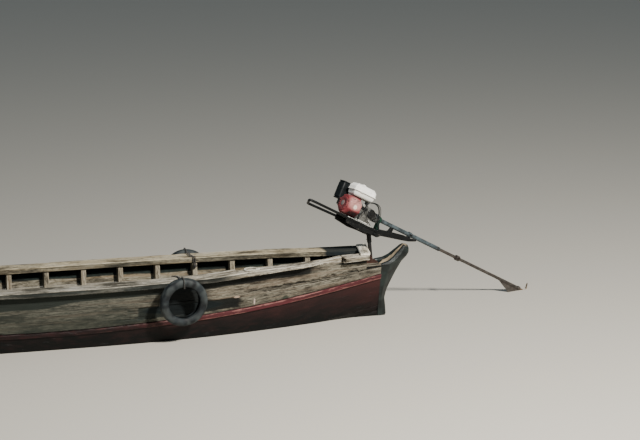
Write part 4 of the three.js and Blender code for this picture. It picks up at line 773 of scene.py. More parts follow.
def covering_board(name, side, x0, x1, step, counts, seed, broken=False, ragged=(0.0, 0.0)):
    """A covering board from x0 to x1. Aft on the port side the inboard strip has split off and the top
    is trodden lower, and a broken board has lost its overhang; a ragged end is drawn out into fingers."""
    also = [BREAK["split"], BREAK["split"] - 0.0015] if broken else []
    x = lengthwise(x0, x1, step, *also)
    outer, inner, bottom, top = board_edges(x)
    gone = np.clip((BREAK["fore"] - x) / (BREAK["fore"] - BREAK["aft"]), 0, 1) if broken else 0 * x
    outer = outer - BOARD_OUTBOARD * gone
    if side > 0:
        split = x < BREAK["split"] - 0.001
        uneven_split = 0.006 * ruffle(x * 9, 0, seed + 7) + 0.003 * ruffle(x * 41, 0, seed + 8) + 0.004
        inner = inner + split * (BOARD_INBOARD - BREAK["split_inboard"] + uneven_split)
        top = top - trodden(x)
    edges = (outer, bottom), (outer, top), (inner, top), (inner, bottom)
    rings, round_it, worn = long_bar(x, edges, counts, 0.006)
    xx, y = x[:, None], rings[..., 1]
    across = y - inner[:, None]
    grooves = 0.5 + 0.5 * ruffle(xx * 1.6 + seed, across * 95, seed)
    grooves = np.clip((grooves - 0.62) / 0.2, 0, 1)
    face_wear = 0.0022 * grooves + 0.0012 * (1 + ruffle(xx * 8, round_it[:, :-1] * 60, seed + 1))
    edge_wear = 0.004 * np.clip(ruffle(xx * 13, round_it[:, :-1] * 7, seed + 2), 0, 1) * worn
    under = rings[..., 2] < bottom[:, None] + 0.002
    splintered = gone[:, None] * np.clip(1 - (outer[:, None] - y) / 0.004, 0, 1) * (~under)
    torn = splintered * (0.002 + 0.007 * np.clip(ruffle(xx * 34, rings[..., 2] * 60, seed + 3) + 0.3, 0, 1))
    rings = worked_down(rings, np.where(under, 0, face_wear + edge_wear))
    rings[..., 1] -= torn
    for end_x, inward, length in ((x0, 1, ragged[0]), (x1, -1, ragged[1])):
        if length:
            near = np.clip(1 - np.abs(rings[..., 0] - end_x) / (1.6 * length), 0, 1)
            fingers = 0.5 + 0.5 * ruffle(across * 110, rings[..., 2] * 60, seed + 4)
            rings[..., 0] += inward * length * near * fingers
            worn = worn * (1 - near)
    worn = worn - 0.5 * grooves * (worn < 0.5) - 0.35 * splintered
    # Painted shade: the port board's outer edge face and the starboard board's inner edge face are darkened
    # against their sunlit tops, the port one less so aft.
    if side > 0:
        shaded_face, dark = slice(0, counts[0]), 1.00 - 0.60 * eased(x, -1.25, -1.75)
        worn[:, -1] = -dark
    else:
        shaded_face = slice(counts[0] + counts[1] + 2, counts[0] + counts[1] + counts[2] + 3)
        dark = 0.62 + 0.30 * ruffle(x * 1.7, 0.5, seed + 10)
    worn[:, shaded_face] = -dark[:, None] + 0.22 * ruffle(xx * 5, round_it[:, shaded_face] * 40, seed + 9)
    wood = near_board_wood if side > 0 else bleached_wood
    return timber(name, rings, side, wood, "bare_wood", x, round_it, 9.0 + seed, worn)


covering_board("covering_board_port", 1, BREAK["aft_start"] + SEAM_GAP, BOW_X, 0.007, (10, 34, 8, 8), 71,
               True)
covering_board("covering_board_port_aft", 1, -2.790, BREAK["aft_start"], 0.005, (10, 34, 8, 8), 81,
               False, (0.006, 0.030))
covering_board("covering_board_starboard", -1, -2.842, BOW_X, 0.010, (8, 30, 8, 8), 91, False, (0.02, 0.0))


# Thwart: a sawn plank laid across the covering boards forward and nailed down on both.
# It is bare hardwood, weathered to the same grey as the side planks.
(half_aft,), (half_fore,) = (board_edges(np.array([at]))[0] - 0.020 for at in (1.960, 2.190))
s = np.linspace(-1, 1, 61)
THWART_Z = (0.635215, 0.663215)
corners = np.stack([np.stack([0 * s + at, s * width, 0 * s + z], -1) for at, width, z in (
    (1.960, half_aft, THWART_Z[0]), (2.190, half_fore, THWART_Z[0]),
    (2.190, half_fore, THWART_Z[1]), (1.960, half_aft, THWART_Z[1]))])
rings, round_it, worn = bar_rings(corners, (12, 4, 24, 4), 0.004)
wear = 0.001 * (1 + ruffle(s[:, None] * 6, round_it[:, :-1] * 60, 95)) * (rings[..., 2] > THWART_Z[0] + 0.004)
timber("thwart", worked_down(rings, wear), 1, side_wood, "grey_wood", s * 0.3, round_it, 11.0, worn)


# Aft crossbeam: a board laid askew across the covering boards by the motor, scrubbed white by hands and
# ropes, with a bite split out of its forward edge.
BEAM = {"fore": -2.700, "aft": -2.795, "port": 0.200, "starboard": -0.152, "skew": 0.065,
        "z": (0.615955, 0.637955), "bite": (-2.680, 0.010, 0.052)}
scrubbed_wood = weathered_wood("scrubbed_white_board", "#f4f0e4", "#b9b19d", "#ddd2bb", "#332d23", chalk=0.6)
s = np.linspace(0, 1, 101)
y = BEAM["port"] + s * (BEAM["starboard"] - BEAM["port"])
bite_x, bite_y, bite_r = BEAM["bite"]
fore_x = BEAM["fore"] - s * BEAM["skew"]
bitten = bite_x - np.sqrt(np.maximum(bite_r**2 - (y - bite_y) ** 2, 0))
fore_x = fore_x - 0.007 * np.abs(ruffle(y * 70, 0.5, 99)) - 0.004 * np.abs(ruffle(y * 260, 0.5, 96))
bitten = np.minimum(fore_x, bitten - 0.002 * np.abs(ruffle(y * 300, 0.5, 97)))
fore_x = np.where(np.abs(y - bite_y) < bite_r, bitten, fore_x)
aft_x = BEAM["aft"] - s * BEAM["skew"] + 0.008 * np.abs(ruffle(y * 60, 0.5, 94))
corners = np.stack([np.stack([edge, y, 0 * y + z], -1) for edge, z in (
    (aft_x, BEAM["z"][0]), (fore_x, BEAM["z"][0]), (fore_x, BEAM["z"][1]), (aft_x, BEAM["z"][1]))])
rings, round_it, worn = bar_rings(corners, (8, 4, 14, 4), 0.004)
wear = 0.001 * (1 + ruffle(y[:, None] * 30, rings[..., 0] * 90, 98)) * (rings[..., 2] > BEAM["z"][0] + 0.003)
timber("aft_crossbeam", worked_down(rings, wear), 1, scrubbed_wood, "bare_wood", y, round_it, 12.0, worn)


# Motor step: a thick board let in between the top planks, flush with their cut-down edge, to carry the
# motor's post. It is bare grey hardwood like theirs.
STEP_Z = (0.4637, 0.4997)
x = lengthwise(-2.918, -2.640, 0.012)
inner = section(x, PLANK)
halves = [np.array([np.interp(z, row[::-1, 1], row[::-1, 0]) for row in inner]) - 0.0008 for z in STEP_Z]
edges = (halves[0], STEP_Z[0]), (halves[1], STEP_Z[1]), (-halves[1], STEP_Z[1]), (-halves[0], STEP_Z[0])
rings, round_it, worn = long_bar(x, edges, (4, 22, 4, 10), 0.003)
timber("motor_step", rings, 1, side_wood, "grey_wood", x, round_it, 13.0, worn)


# Carved end blocks: each end of the hull closes on one block of hardwood, hollowed at the top like a
# scoop and swept up into a horn. Outside it wears thick dark green paint; the hollow is bare and worn.
#    z    near  far  nearHalf farHalf, near and far measured from the planks' end
STERN_BLOCK = MM * np.array([
    [-62, 0, 40, 14, 8], [14, 0, 83, 20, 10], [89, 0, 77, 34, 14], [165, 0, 68, 52, 20],
    [239, 0, 86, 70, 26], [320, 0, 124, 90, 34], [410, 0, 171, 113, 42], [500, 0, 226, 126, 50],
    [520, 82, 246, 102, 52], [548, 130, 275, 86, 52], [580, 165, 294, 72, 50], [612, 203, 295, 60, 46],
    [636, 228, 286, 50, 42], [646, 244, 276, 38, 32],
])
BOW_BLOCK = MM * np.array([
    [18, 0, 30, 14, 8], [120, 0, 80, 24, 10], [260, 0, 128, 52, 20], [400, 0, 178, 80, 28],
    [505, 0, 216, 102, 36], [600, 0, 254, 114, 42], [700, 0, 298, 124, 48], [724, 92, 318, 104, 52],
    [756, 142, 342, 88, 52], [788, 180, 352, 74, 50], [812, 218, 350, 60, 46], [828, 262, 332, 40, 34],
])
STERN_HOLLOW = MM * np.array([
    [466, -20, 22, 60, 34], [500, -20, 108, 84, 60], [520, 20, 130, 80, 60], [548, 60, 156, 68, 54],
    [580, 110, 186, 56, 44], [612, 160, 219, 44, 34], [660, 200, 256, 32, 24],
])
BOW_HOLLOW = STERN_HOLLOW * np.array([1, 1, 1.08, 1, 1]) + np.array([0.199, 0, 0, 0, 0])


horn_paint, tree, shader = finish("thick_green_black_paint_on_carved_hardwood", "#1a2220", 0.5, sheen=0.35)
place = add(tree, "TexCoord", {}, "Object")
worn = add(tree, "Attribute", {}, 2, attribute_name="worn")
grain = add(tree, "TexNoise", {0: add(tree, "Mapping", {0: place, "Scale": (9, 40, 14)}), "Scale": 1.0,
                               "Detail": 6.0, "Roughness": 0.65})
blotch = add(tree, "TexNoise", {0: place, "Scale": 13.0, "Detail": 6.0, "Roughness": 0.62})
colour = tinted(tree, linear("#090e0d"), (blotch, 0.40, 0.62, 1, "#1b2422"))
bare = tinted(tree, linear("#5b4d3c"), (grain, 0.36, 0.62, 1, "#a4947a"))
wear = add(tree, "Math", {0: worn, 1: 0.42, 2: blotch}, operation="MULTIPLY_ADD")
wear = add(tree, "MapRange", {0: wear, 1: 0.72, 2: 0.80})
colour = add(tree, "Mix", {0: wear, 6: colour, 7: bare}, 2, data_type="RGBA")
wired(tree, shader, colour, add(tree, "Math", {0: grain, 1: blotch}, operation="ADD"), 0.7, 0.004,
      add(tree, "MapRange", {0: wear, 3: 0.42, 4: 0.85}))


def half_outline(near, far, near_half, far_half):
    """Six corners of half a level section, from its broad end to the middle of its rounded one."""
    bend = 0.5 * np.minimum(far_half, far - near)
    along = np.stack([near, near + 0.35 * (far - near), far - bend, far - 0.3 * bend, far, far], -1)
    half = np.stack([near_half, 0.94 * near_half, far_half, 0.72 * far_half, 0.25 * far_half, 0 * far], -1)
    return along, half


def along_rows(table, t):
    """Each row of a table read at fractional columns t, by straight lines between the columns."""
    low = np.clip(t.astype(int), 0, table.shape[1] - 2)
    row = np.arange(len(table))[:, None]
    return table[row, low] * (1 + low - t) + table[row, low + 1] * (t - low)


def carved_block(name, rows, hollow, end_x, away, seed):
    """A block as levels of a horseshoe: round the outside from one broad corner to the other, and back
    round the hollow. Below the hollow's floor the way back runs straight along the broad face."""
    floor_z = hollow[0, 0]
    z = np.concatenate([np.linspace(rows[0, 0], floor_z, 46), np.linspace(floor_z, rows[-1, 0], 44)])
    open_here = np.arange(len(z)) >= 46
    size = [np.interp(z, rows[:, 0], rows[:, k]) for k in range(1, 5)]
    scoop = [np.interp(z, hollow[:, 0], hollow[:, k]) for k in range(1, 5)]
    outer_a, outer_h = (along_rows(table, np.linspace(0, 5, 31)[None, :]) for table in half_outline(*size))
    scoops = half_outline(*scoop)
    start = np.array([[np.interp(near, row, np.arange(6))] for near, row in zip(size[0], scoops[0])])
    inner_a, inner_h = (along_rows(table, start + (5 - start) * np.linspace(0, 1, 31)) for table in scoops)
    shut = ~open_here[:, None]
    inner_a = np.where(shut, size[0][:, None], inner_a)
    inner_h = np.where(shut, size[2][:, None] * np.linspace(0.98, 0, 31)[None, :], inner_h)
    a = np.concatenate([outer_a, outer_a[:, -2::-1], inner_a, inner_a[:, -2::-1]], 1)
    y = np.concatenate([-outer_h, outer_h[:, -2::-1], inner_h, -inner_h[:, -2::-1]], 1)
    points = np.stack([end_x + away * (a + SEAM_GAP), y, np.broadcast_to(z[:, None], a.shape)], -1)
    j = np.arange(61)
    hollowed = np.concatenate([0 * j, np.clip((np.minimum(j, 60 - j) - 7) / 4, 0, 1)]) * open_here[:, None]
    rim = np.clip((z - (rows[-1, 0] - 0.16)) / 0.16, 0, 1)[:, None]
    worn = np.maximum(hollowed, 0.45 * rim * np.ones_like(a))
    made = skin(name, points, horn_paint, grain_map(z, round_of(points), seed), worn, "ladder", 40)
    bevel = made.modifiers.new("rubbed_edges", "BEVEL")
    bevel.width, bevel.segments, bevel.limit_method, bevel.angle_limit = 0.006, 3, "ANGLE", np.radians(42)
    return rides(made, "hull", "black_green_wood", name)


carved_block("stern_block", STERN_BLOCK, STERN_HOLLOW, STERN_X, -1, 14.0)
carved_block("bow_block", BOW_BLOCK, BOW_HOLLOW, BOW_X, 1, 15.0)


# Fender tyres: two worn car tyres with no wheels, hung by lashings outside the covering boards.
# The rubber has chalked grey-blue in clouds, and dried mud has dusted its sides and tread.
def turn(axis, degrees):
    """The matrix of a turn about x, y or z by an angle in degrees."""
    c, s = np.cos(np.radians(degrees)), np.sin(np.radians(degrees))
    return np.array({"x": [[1, 0, 0], [0, c, -s], [0, s, c]], "y": [[c, 0, s], [0, 1, 0], [-s, 0, c]],
                     "z": [[c, -s, 0], [s, c, 0], [0, 0, 1]]}[axis])


TYRE = {"outer": 0.215, "inner": 0.140, "half_width": 0.045, "rope_room": 0.011, "lean": np.radians(5)}
#  across  radius: half the casing, from its crown round the bead to the crown's inside
half_casing = np.array([
    [0, 214.6], [16, 213.4], [31, 208.5], [40, 199], [44, 188], [44.5, 174], [41, 159], [34, 147], [26, 142],
    [17, 141], [21, 150], [30, 162], [34, 176], [31, 190], [20, 201.5], [0, 204.5]])
mirrored = half_casing * np.array([-1, 1])
CASING = MM * np.concatenate([mirrored[9:0:-1], half_casing, mirrored[14:9:-1]])
rubber, tree, shader = finish("weathered_tyre_rubber", "#0c1114", 0.7, sheen=0.25)
place = add(tree, "TexCoord", {}, "Object")
worn = add(tree, "Attribute", {}, 2, attribute_name="worn")
chalk = add(tree, "TexNoise", {0: place, "Scale": 16.0, "Detail": 6.0, "Roughness": 0.6})
grit = add(tree, "TexNoise", {0: place, "Scale": 260.0, "Detail": 3.0, "Roughness": 0.6})
colour = tinted(tree, linear("#101315"), (chalk, 0.42, 0.66, 0.75, "#272e31"), (worn, 0, 1, 0.55, "#4a4f4d"))
wired(tree, shader, colour, add(tree, "Math", {0: grit, 1: chalk}, operation="ADD"), 0.35, 0.002,
      add(tree, "MapRange", {0: chalk, 1: 0.3, 2: 0.7, 3: 0.50, 4: 0.78}))


def board_at(x):
    """The covering board's edges and levels at one x, as plain numbers."""
    return [float(value[0]) for value in board_edges(np.array([x]))]


def tyre_seat(x, drop):
    """Where a tyre hangs a drop below the board's top: its middle's y and z, and its yaw in plan."""
    outer, _, bottom, top = board_at(x)
    centre_z = top - drop
    face_y = outer + TYRE["rope_room"] - (bottom - centre_z) * np.tan(TYRE["lean"])
    yaw = np.arctan2(board_at(x + 0.1)[0] - board_at(x - 0.1)[0], 0.2)
    return face_y + TYRE["half_width"] / np.cos(TYRE["lean"]), centre_z, yaw


def smooth_path(points, count, power=0.25):
    """A centripetal Catmull-Rom curve through points, as count points an even distance apart.

    Each span is a Hermite cubic whose slopes come from its neighbours, timed by the root of the spacing.
    """
    points = np.asarray(points, float)
    p = np.concatenate([[2 * points[0] - points[1]], points, [2 * points[-1] - points[-2]]])
    dt = np.maximum(np.sum(np.diff(p, axis=0) ** 2, -1) ** power, 1e-9)
    d0, d1, d2 = dt[:-2, None], dt[1:-1, None], dt[2:, None]
    p0, p1, p2, p3 = p[:-3], p[1:-2], p[2:-1], p[3:]
    slope1 = ((p1 - p0) / d0 - (p2 - p0) / (d0 + d1) + (p2 - p1) / d1) * d1
    slope2 = ((p2 - p1) / d1 - (p3 - p1) / (d1 + d2) + (p3 - p2) / d2) * d1
    t = np.linspace(0, 1, 25)[:-1, None, None]
    fine = (2 * t**3 - 3 * t**2 + 1) * p1 + (t**3 - 2 * t**2 + t) * slope1 \
        + (3 * t**2 - 2 * t**3) * p2 + (t**3 - t**2) * slope2
    fine = np.concatenate([fine.transpose(1, 0, 2).reshape(-1, 3), points[-1:]])
    far = far_along(fine)
    return np.stack([np.interp(np.linspace(0, far[-1], count), far, axis) for axis in fine.T], -1)


def full_circle(count):
    """Angles an even step apart, once round."""
    return np.linspace(0, 2 * np.pi, count, endpoint=False)


def swept(path, outline):
    """Rings along a path: outline(angle, distance) gives each ring's radius at each angle.

    The ring's axes are carried along without turning about the path.
    """
    ahead = unit(np.gradient(path, axis=0))
    side = np.cross(ahead[0], [0.0, 0.0, 1.0] if abs(ahead[0, 2]) < 0.8 else [1.0, 0.0, 0.0])
    sides = []
    for direction in ahead:
        side = unit(side - direction * (side @ direction))
        sides.append(side)
    sides = np.stack(sides)
    others = np.cross(ahead, sides)
    angle, radius = outline(far_along(path)[:, None])
    return path[:, None] + radius[..., None] * (
        np.cos(angle)[..., None] * sides[:, None] + np.sin(angle)[..., None] * others[:, None])


def laid_rope(radius, lay, sides=18):
    """The outline of rope laid from three strands: the furthest of three circles, turning with distance."""
    def outline(far):
        angle = full_circle(sides)[None, :] + 0 * far
        from_strand = (angle - 2 * np.pi * far / lay + np.pi / 3) % (2 * np.pi / 3) - np.pi / 3
        reach, strand = 0.52 * radius, 0.48 * radius
        return angle, reach * np.cos(from_strand) + np.sqrt(strand**2 - (reach * np.sin(from_strand)) ** 2)
    return outline


def rope_finish(name, clean, dirty, dark):
    """Laid fibre rope: pale crowns on the strands, darker where they touch, and stained lengths."""
    material, tree, shader = finish(name, clean, 0.92)
    shader.inputs["Sheen Weight"].default_value = 0.2
    place = add(tree, "TexCoord", {}, "Object")
    stain = add(tree, "TexNoise", {0: place, "Scale": 22.0, "Detail": 5.0, "Roughness": 0.6})
    hair = add(tree, "TexNoise", {0: place, "Scale": 520.0, "Detail": 2.0, "Roughness": 0.7})
    worn = add(tree, "Attribute", {}, 2, attribute_name="worn")
    colour = tinted(tree, linear(clean), (stain, 0.42, 0.68, 1, dirty), (worn, 0, -1, 0.8, dark))
    wired(tree, shader, colour, hair, 0.5, 0.0008)
    return material


def rope_mesh(name, paths, radius, lay, material, blobs=()):
    """Lengths of laid rope, and knots as lumps with strands wound round them, in one mesh."""
    grids, tones = [], []
    for path in paths:
        rings = swept(path, laid_rope(radius, lay))
        hollow = np.linalg.norm(rings - path[:, None], axis=-1) / radius
        grids.append(rings)
        tones.append(-np.clip((0.97 - hollow) / 0.16, 0, 1))
    for centre, size in blobs:
        t = np.linspace(0.12, np.pi - 0.12, 22)[:, None]
        phi = full_circle(28)[None, :]
        strands = np.cos(3 * phi + 5 * t)
        reach = size * (0.90 + 0.10 * strands)
        direction = np.stack([np.sin(t) * np.cos(phi), np.sin(t) * np.sin(phi), np.cos(t) + 0 * phi], -1)
        grids.append(np.array(centre) + reach[..., None] * direction)
        tones.append(np.clip(strands, -1, 0))
    return skin(name, grids, material, None, tones, sharp=60)


black_cord = rope_finish("laid_black_cord", "#38342f", "#2a2724", "#14120f")
LASHING = {"radius": 0.005, "spread": 0.008, "knot": 0.016}
for side_name, side, x, rib_x, drop in (("port", 1, -1.000, RIB_XS[10], 0.172),
                                        ("starboard", -1, -1.275, RIB_XS[11], 0.190)):
    centre_y, centre_z, yaw = tyre_seat(x, drop)
    casing = np.column_stack([CASING, 0 * CASING[:, 0]])
    along, reach, _ = smooth_path(np.concatenate([casing, casing[:1]]), 97)[:-1].T
    angle = full_circle(144)[:, None]
    tread = sum(np.exp(-((np.abs(along) - groove) / 0.0022) ** 2) for groove in (0.012, 0.027))
    notches = (np.abs(np.sin(36 * angle + 40 * along)) < 0.16) * (np.abs(along) > 0.027)
    outside = (reach > 0.203) & (np.arange(96) < 62)
    depth = 0.0028 * np.maximum(tread, notches) * outside
    rings_raised = 0.0007 * (np.cos((reach - 0.150) / 0.0105 * 2 * np.pi) > 0.75) * (np.abs(along) > 0.036)
    radius = (reach - depth) * (1 + 0.006 * np.sin(2 * angle + 0.6))
    across = along + np.sign(along) * rings_raised + 0 * angle
    local = np.stack([radius * np.sin(angle), across, radius * np.cos(angle)], -1)
    leaning = turn("z", side * np.degrees(yaw)) @ turn("x", -side * np.degrees(TYRE["lean"]))
    points = local @ leaning.T + np.array([x, side * centre_y, centre_z])
    dust = np.clip(0.5 + ruffle(angle * 6, along * 60, 101), 0, 1) * np.clip((reach - 0.13) / 0.08, 0, 1)
    closed = np.concatenate([points, points[:1]])
    made = skin(f"fender_tyre_{side_name}", closed, rubber, None, np.concatenate([dust, dust[:1]]), "open")
    weld = made.modifiers.new("closed_round", "WELD")
    weld.merge_threshold = 0.00002
    rides(made, "hull", "tyre_rubber", f"fender_tyre_{side_name}")

    # Its lashing: from a knot on a rib's head, over the board, round the tyre's top and back.
    outer, inner, bottom, top = board_at(x)
    _, rib_inner, rib_bottom, rib_top = board_at(rib_x)
    reach, spread, knot = LASHING["radius"] + 0.0018, LASHING["spread"], LASHING["knot"]
    head_y = float(section(rib_x, PLANK + SEAM_GAP)[0, 0, 0]) - HEAD_DEPTH
    knot_y = min(head_y, rib_inner) - knot - 0.001
    lean, half, r_in, r_out = TYRE["lean"], TYRE["half_width"], TYRE["inner"], TYRE["outer"]
    #           along x            radius       across the tyre
    on_tyre = [(-spread, r_in + 0.015, -half - 0.001), (-spread / 2, r_in - 0.007, -half + 0.012),
               (0.0, r_in - LASHING["radius"] - 0.001, 0.0), (0.0, r_in - 0.007, half - 0.012),
               (spread / 2, r_in + 0.015, half + 0.001), (spread, 0.178, half + reach + 0.002),
               (spread, 0.206, half + 0.001), (spread, r_out + reach + 0.001, 0.022),
               (spread, r_out + reach + 0.001, -0.014), (spread, r_out + reach - 0.006, -0.040)]
    by_rib = [(rib_inner - reach - 0.004, rib_bottom + 0.012), (rib_inner - reach, rib_top - 0.006),
              (rib_inner - 0.0035, rib_top + reach + 0.0006)]
    run = [(rib_x, knot_y, rib_bottom - 0.022), *[(rib_x, y, z) for y, z in by_rib],
           ((x + rib_x - spread) / 2, rib_inner + 0.012, rib_top + reach + 0.002),
           (x - spread, (inner + outer) / 2, top + reach), (x - spread, outer - 0.008, top + reach + 0.0005),
           (x - spread, outer + 0.002, top + reach - 0.0015),
           (x - spread, outer + reach - 0.0005, top - 0.009)]
    c, s = np.cos(lean), np.sin(lean)
    run += [(x + dx, centre_y + r * s + a * c, centre_z + r * c - a * s) for dx, r, a in on_tyre]
    run += [(x + spread, outer - 0.014, top + reach + 0.006),
            (x + spread, inner + 0.040, top + reach + 0.002),
            ((x + rib_x) / 2 + 1.5 * spread, rib_inner + 0.012, rib_top + reach + 0.002),
            *[(rib_x + 2.5 * reach, y, z) for y, z in by_rib[::-1]],
            (rib_x + 0.002, knot_y, rib_bottom - 0.024)]
    path = smooth_path(np.array(run) * np.array([1, side, 1]), 420)
    made = rope_mesh(f"fender_lashing_{side_name}", [path], LASHING["radius"], 0.034, black_cord,
                     [((rib_x + 0.001, side * knot_y, rib_bottom - 0.026), knot)])
    rides(made, "hull", "dark_cord", f"fender_lashing_{side_name}")


# A short length of rope dropped in two turns on the port covering board, its end tied in a knot.
# It is 10 mm laid rope, 0.71 m long, and lies loose on the board.
white_rope = rope_finish("laid_fibre_rope", "#dcd8ca", "#a59f8c", "#6b6353")
COIL = {"x": -1.658, "y": 0.347, "radius": 0.0050, "turns": 2.0}
angle = np.linspace(0, 2 * np.pi * COIL["turns"], 49)
reach = 0.0465 + 0.0106 * angle / (2 * np.pi) + 0.0016 * np.sin(3 * angle + 1.0)
coil_x = COIL["x"] + reach * np.cos(angle + 2.6)
coil_y = COIL["y"] + 0.97 * reach * np.sin(angle + 2.6)
coil_z = board_edges(coil_x)[3] + COIL["radius"] + 0.0008
coil_path = smooth_path(np.column_stack([coil_x, coil_y, coil_z]), 360)
coil_length = float(far_along(coil_path)[-1])
end = coil_path[-1]
made = rope_mesh("rope_coil", [coil_path], COIL["radius"], 0.034, white_rope)
rides(made, "hull", "rope", "rope_coil")
knot = rope_mesh("rope_coil_knot", [], 0, 0, white_rope, [(end + np.array([0, 0, 0.0040]), 0.0090)])
rides(knot, "hull", "rope")


# The motor's post: a steel tube welded on a foot plate, which is bolted to the motor step.
# Its upper part still has black paint, and its foot has rusted red.
POST_LEAN, SWING, TAIL_DOWN, PIVOT_HEIGHT = 5.0, 18.0, 32.8, 276.0
POST_FOOT = np.array([-2.862, 0, 0.500])
TURNS = {"hull": turn("y", POST_LEAN), "yoke": turn("y", POST_LEAN) @ turn("z", SWING)}
TURNS["motor"] = TURNS["propeller"] = TURNS["yoke"] @ turn("y", -TAIL_DOWN)
PIVOT = POST_FOOT + TURNS["hull"] @ np.array([0, 0, MM * PIVOT_HEIGHT])
PLACES = {"hull": POST_FOOT, "yoke": POST_FOOT, "motor": PIVOT, "propeller": PIVOT}


def fitted(name, shapes, material, slot, body="motor", node=None, sharp=38):
    """A piece from shapes in its body's own millimetres: each is a grid, or a grid and its wear."""
    shapes = [shape if isinstance(shape, tuple) else (shape, 0.0) for shape in shapes]
    grids = [MM * grid @ TURNS[body].T + PLACES[body] for grid, tone in shapes]
    made = skin(name, grids, material, None, [tone for grid, tone in shapes], sharp=sharp)
    return rides(made, body, slot, *([node or name] if node != "none" else []))


def turned(profile, axis=0, centre=(0, 0, 0), sides=40):
    """A lathe-turned shape: profile rows give the distance along an axis and the radius there."""
    profile = np.asarray(profile, float)
    angle = full_circle(sides)
    grid = np.zeros((len(profile), sides, 3))
    grid[..., axis] = profile[:, :1]
    grid[..., (axis + 1) % 3] = profile[:, 1:] * np.cos(angle)
    grid[..., (axis + 2) % 3] = profile[:, 1:] * np.sin(angle)
    return grid + np.array(centre, float)


def soft_corners(corners, radius, per=4, between=3):
    """An outline with rounded corners: each is a quadratic arc from a radius before it to one after,
    with some points along the straights between. Gives the outline, and 1 on arcs and 0 on straights."""
    corners = np.asarray(corners, float)
    arms = [np.roll(corners, k, 0) - corners for k in (1, -1)]
    a, b = (corners + arm * np.minimum(radius / np.linalg.norm(arm, axis=1, keepdims=True), 0.45)
            for arm in arms)
    t = np.linspace(0, 1, per)[None, :, None]
    arc = (1 - t) ** 2 * a[:, None] + 2 * t * (1 - t) * corners[:, None] + t**2 * b[:, None]
    t = np.linspace(0, 1, between + 2)[None, 1:-1, None]
    straight = b[:, None] + t * (np.roll(a, -1, 0) - b)[:, None]
    tone = np.tile(np.r_[np.ones(per), np.zeros(between)], len(corners))
    return np.concatenate([arc, straight], 1).reshape(-1, 2), tone


def drawn_in(outline, depth):
    """An outline moved inwards by a depth, each point along the mean of its two edges' normals."""
    edge = unit(np.roll(outline, -1, 0) - outline)
    normal = np.stack([-edge[:, 1], edge[:, 0]], -1)
    mean = normal + np.roll(normal, 1, 0)
    mean /= np.maximum(np.sum(mean * normal, 1, keepdims=True), 0.2)
    x, y = outline.T
    return outline + depth * np.sign(np.sum(x * np.roll(y, -1) - np.roll(x, -1) * y)) * mean


def slab(corners, low, high, axis, radius=6.0, bevel=1.5, levels=None):
    """A flat part: an outline carried along an axis between two levels, its rims bevelled.

    levels, rows of distance and growth, put steps in its side. The outline holds the next two axes.
    """
    outline, tone = soft_corners(corners, radius)
    rows = [(low, -4 * bevel, 0), (low, -bevel, 1), (low + 0.7 * bevel, 0, 1), (low + 3 * bevel, 0, 0)]
    rows += [(at, grown, 0.3) for at, grown in (levels or [])]
    rows += [(high - 3 * bevel, 0, 0), (high - 0.7 * bevel, 0, 1), (high, -bevel, 1), (high, -4 * bevel, 0)]
    grid = np.zeros((len(rows), len(outline), 3))
    for row, (at, grown, _) in enumerate(rows):
        grid[row, :, axis] = at
        grid[row][:, [(axis + 1) % 3, (axis + 2) % 3]] = drawn_in(outline, -grown)
    return grid, np.maximum(np.array([row[2] for row in rows])[:, None], 0.8 * tone[None, :])


def block(low, high, axis=2, radius=4.0, bevel=1.5, levels=None):
    """A rounded block between two corners, as a slab along an axis."""
    a, b = (axis + 1) % 3, (axis + 2) % 3
    corners = [(low[a], low[b]), (high[a], low[b]), (high[a], high[b]), (low[a], high[b])]
    return slab(corners, low[axis], high[axis], axis, radius, bevel, levels)


def set_up(shape, place, matrix):
    """A shape turned by a matrix and then moved to a place."""
    grid, tone = shape if isinstance(shape, tuple) else (shape, 0.0)
    return grid @ np.array(matrix, float).T + np.array(place, float), tone


def bolts(places, toward, across=7.0, height=5.0):
    """Hexagon bolt heads on washers, standing at places along a direction."""
    toward = unit(np.array(toward, float))
    side = unit(np.cross(toward, [0.31, 0.5, 0.81]))
    matrix = np.stack([side, np.cross(toward, side), toward], 1)
    washer = turned([(-1, across * 0.9), (1.2, across * 0.9), (1.2, across * 0.3)], 2, sides=18)
    head = turned([(0, across * 0.58), (1 + height * 0.8, across * 0.58), (1 + height, across * 0.48)], 2,
                  sides=6)
    return [set_up((shape, 0.4), place, matrix) for place in places for shape in (washer, head)]


def weld(points, size=4.5):
    """A weld bead along points: a lumpy round run, a lump to every 5 mm."""
    def lumpy(far):
        angle = full_circle(10)[None, :] + 0 * far
        return angle, size * (0.78 + 0.22 * np.abs(np.sin(np.pi * far / 5.0))) + 0 * angle
    return swept(smooth_path(points, max(int(far_along(points)[-1] / 1.6), 8)), lumpy), -0.4


